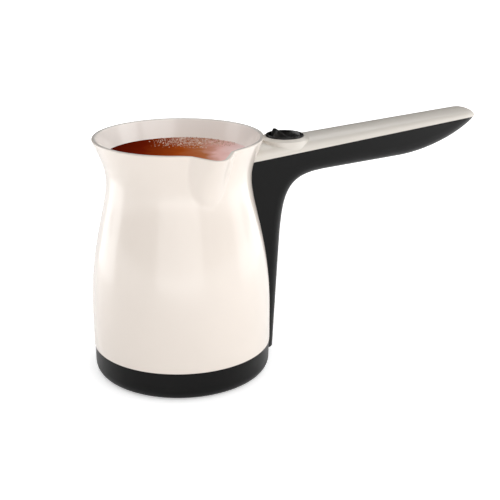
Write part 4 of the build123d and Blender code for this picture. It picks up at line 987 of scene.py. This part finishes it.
def bubble_tree():
    """Tree that scatters bubbles over the part of the coffee where they gather."""
    inputs = {"Seed": "Int", **dict.fromkeys(("Density", "Gap", "Radius"), "Float")}
    tree, entry, leave, given = new_tree("Bubbles", {**inputs, "Material": "Material"})
    # they begin well behind the axis, and thin out to both sides of a line right of it
    begin, rise, middle, reach = 17 * MM, 9 * MM, 7 * MM, 24 * MM
    x, y, _ = axes(tree, position(tree))
    across, back = along(x, y, CAMERA_RIGHT), along(x, y, -CAMERA_BACK)
    near = ((back - begin) / rise).clamped()
    spread = ((across - middle) / reach).squared().from_one().clamped()
    scatter = {
        "Mesh": entry.outputs["Geometry"],
        "Distance Min": given["Gap"],
        "Density Max": given["Density"],
        "Density Factor": near * spread,
        "Seed": given["Seed"],
    }
    poisson = {"distribute_method": "POISSON"}
    scatter = node(tree, "GeometryNodeDistributePointsOnFaces", scatter, **poisson)
    ball = {"Radius": given["Radius"], "Subdivisions": 2}
    ball = node(tree, "GeometryNodeMeshIcoSphere", ball).outputs[0]
    size = {2: 0.45, 3: 1.2, "Seed": given["Seed"]}
    size = node(tree, "FunctionNodeRandomValue", size, data_type="FLOAT").outputs[1]
    balls = {"Points": scatter.outputs[0], "Instance": ball, "Scale": size}
    foam = node(tree, "GeometryNodeInstanceOnPoints", balls).outputs[0]
    close_tree(tree, entry, leave, foam)
    return tree


class COFFEEPOT_OT_coffee(bpy.types.Operator):
    """Fills the pot with coffee, which isn't part of it"""

    bl_idname = "coffeepot.coffee"
    bl_label = "Pour the Coffee"

    def execute(self, context):
        settings = context.scene.coffeepot_stage
        mesh = coffee_surface(bpy.data.objects["pot_shell"], settings.level)
        mesh.materials.append(coffee_finish())
        coffee = placed("coffee", mesh)
        values = {
            "Seed": settings.bubbles,
            "Density": 2600000.0,
            "Gap": 0.42 * MM,
            "Radius": 0.32 * MM,
            "Material": bubble_finish(),
        }
        foam = grown("coffee_bubbles", bubble_tree(), mesh.copy(), values)
        return {"FINISHED"}


# ---- stage ----
# name, power setting, angle from the camera's side, distance, height, level it faces and size
LIGHTS = (
    ("left light", "left_power", -106, 0.26, 0.09, 0.09, (0.19, 0.17)),
    ("right light", "right_power", 112, 0.30, 0.09, 0.09, (0.34, 0.17)),
    ("low light", "low_power", 3, 0.45, 0.085, 0.09, (0.5, 0.16)),
    ("front light", "front_power", 36, 1.05, 0.78, 0.06, (1.0, 0.8)),
    ("top light", "top_power", 0, 0.5, 1.2, 0.1, (1.1, 1.1)),
    ("high left light", "high_left", -100, 1.0, 0.6, 0.06, (0.8, 0.8)),
    ("high right light", "high_right", 95, 1.0, 0.6, 0.06, (0.8, 0.8)),
)


def facing(thing, place, target):
    """Puts a camera or a light in its place, turned towards the target."""
    thing.location = place
    thing.rotation_euler = (target - place).to_track_quat("-Z", "Y").to_euler()


def beside(angle, distance, height):
    """Place round the pot, by its angle from the camera's side, its distance and its height."""
    turn = radians(angle)
    level_place = (CAMERA_BACK * cos(turn) + CAMERA_RIGHT * sin(turn)) * distance
    return level_place + Vector((0, 0, height))


def softbox(name, place, level, size, power):
    """Rectangular light that faces the pot's axis at a level, and isn't seen itself."""
    data = bpy.data.lights.new(name, "AREA")
    data.shape = "RECTANGLE"
    data.size, data.size_y = size
    data.energy = power
    lamp = placed(name, data)
    lamp.visible_camera = False
    facing(lamp, place, Vector((0, 0, level)))


def floor_finish(colour, near, far):
    """Pale floor that glows a little, and more so far from the pot."""
    look = {"grain": 40, "depth": 0.05, "drift": 0.01}
    material = moulded("pale floor", colour, 0.7, **look)
    tree = material.node_tree
    shader = tree.nodes["Principled BSDF"]
    away = node(tree, "ShaderNodeVectorMath", {0: coordinates(tree)}, operation="LENGTH")
    away = away.outputs["Value"]
    spread = {"Value": away, "From Min": 0.2, "From Max": 0.9, "To Min": near, "To Max": far}
    glow = Number(tree, node(tree, "ShaderNodeMapRange", spread).outputs[0])
    feed(tree, shader.inputs["Emission Strength"], glow + seen(tree) * 0.3)
    shader.inputs["Emission Color"].default_value = (1, 1, 1, 1)
    return material


def floor_mesh():
    """Floor that curves up into a backdrop far behind the object."""
    steps = 24
    front, back, bend, top, half_width = -3.0, 2.2, 1.2, 4.0, 6.0
    line = [(front, 0.0), (back, 0.0)]
    for step in range(1, steps + 1):
        turn = pi / 2 * step / steps
        line.append((back + bend * sin(turn), bend * (1 - cos(turn))))
    line.append((back + bend, top))
    points = []
    for run, rise in line:
        for side in (-half_width, half_width):
            points.append(-CAMERA_BACK * run + CAMERA_RIGHT * side + Vector((0, 0, rise)))
    faces = [(2 * n, 2 * n + 1, 2 * n + 3, 2 * n + 2) for n in range(len(line) - 1)]
    mesh = mesh_of("floor", points, faces)
    mesh.shade_smooth()
    return mesh


def flag_mesh(distance, low, high, half_turn):
    """Upright dark screen in an arc behind the pot, whose reflection draws the pot's edges."""
    steps = 24
    points = []
    for step in range(steps + 1):
        turn = 180 + half_turn * (2 * step / steps - 1)
        points += [beside(turn, distance, low), beside(turn, distance, high)]
    faces = [(2 * n, 2 * n + 2, 2 * n + 3, 2 * n + 1) for n in range(steps)]
    return mesh_of("flag", points, faces)


def surroundings(glow):
    """World that gives an even light all round, and is white where the camera sees it."""
    world = bpy.data.worlds.new("studio")
    world.use_nodes = True
    tree = world.node_tree
    sky = tree.nodes["Background"]
    sky.inputs["Color"].default_value = (1, 1, 1, 1)
    feed(tree, sky.inputs["Strength"], seen(tree) * (1 - glow) + glow)
    return world


class COFFEEPOT_OT_stage(bpy.types.Operator):
    """Sets the floor, the lights and the camera"""

    bl_idname = "coffeepot.stage"
    bl_label = "Set the Stage"

    def execute(self, context):
        settings = context.scene.coffeepot_stage
        floor = placed("floor", floor_mesh())
        pale = floor_finish(settings.floor, settings.floor_near, settings.floor_far)
        floor.data.materials.append(pale)
        flag = placed("flag", flag_mesh(distance=0.7, low=0.02, high=0.5, half_turn=75))
        flag.data.materials.append(moulded("black felt", (0.01, 0.01, 0.01), 0.9))
        flag.visible_camera = flag.visible_diffuse = flag.visible_shadow = False

        context.scene.world = surroundings(settings.glow)
        for name, power, angle, distance, height, level, size in LIGHTS:
            place = beside(angle, distance, height)
            softbox(name, place, level, size, getattr(settings, power))

        camera = placed("camera", bpy.data.cameras.new("camera"))
        camera.data.lens = settings.lens
        camera.data.sensor_width = 36
        facing(camera, CAMERA_PLACE, CAMERA_AIM)
        context.scene.camera = camera
        context.scene.view_settings.view_transform = "Standard"
        return {"FINISHED"}


# ---- panel ----
class COFFEEPOT_PT_sidebar(bpy.types.Panel):
    """Steps and sizes of the coffee pot"""

    bl_label = "Coffee Pot"
    bl_idname = "COFFEEPOT_PT_sidebar"
    bl_space_type = "VIEW_3D"
    bl_region_type = "UI"
    bl_category = "Coffee Pot"

    def draw(self, context):
        for step in STEPS:
            self.layout.operator(step.bl_idname)
        for name in GROUPS:
            group = getattr(context.scene, name)
            box = self.layout.box()
            for label in group.bl_rna.properties.keys():
                if label not in ("rna_type", "name"):
                    box.prop(group, label)


STEPS = (
    COFFEEPOT_OT_finishes,
    COFFEEPOT_OT_pot_shell,
    COFFEEPOT_OT_coffee,
    COFFEEPOT_OT_stage,
)
GROUPS = {
    "coffeepot_sizes": PotSizes,
    "coffeepot_colours": FinishColours,
    "coffeepot_stage": StageSettings,
}
CLASSES = (*GROUPS.values(), *STEPS, COFFEEPOT_PT_sidebar)


def register():
    """Registers the classes and hangs the property groups on the scene."""
    for each in CLASSES:
        bpy.utils.register_class(each)
    for label, group in GROUPS.items():
        setattr(bpy.types.Scene, label, PointerProperty(type=group))


def unregister():
    """Takes the property groups and the classes away again."""
    for label in GROUPS:
        delattr(bpy.types.Scene, label)
    for each in reversed(CLASSES):
        bpy.utils.unregister_class(each)


def main():
    """Runs every step in order."""
    register()
    bpy.ops.coffeepot.finishes()
    bpy.ops.coffeepot.pot_shell()
    bpy.ops.coffeepot.coffee()
    bpy.ops.coffeepot.stage()


if __name__ == "__main__":
    main()
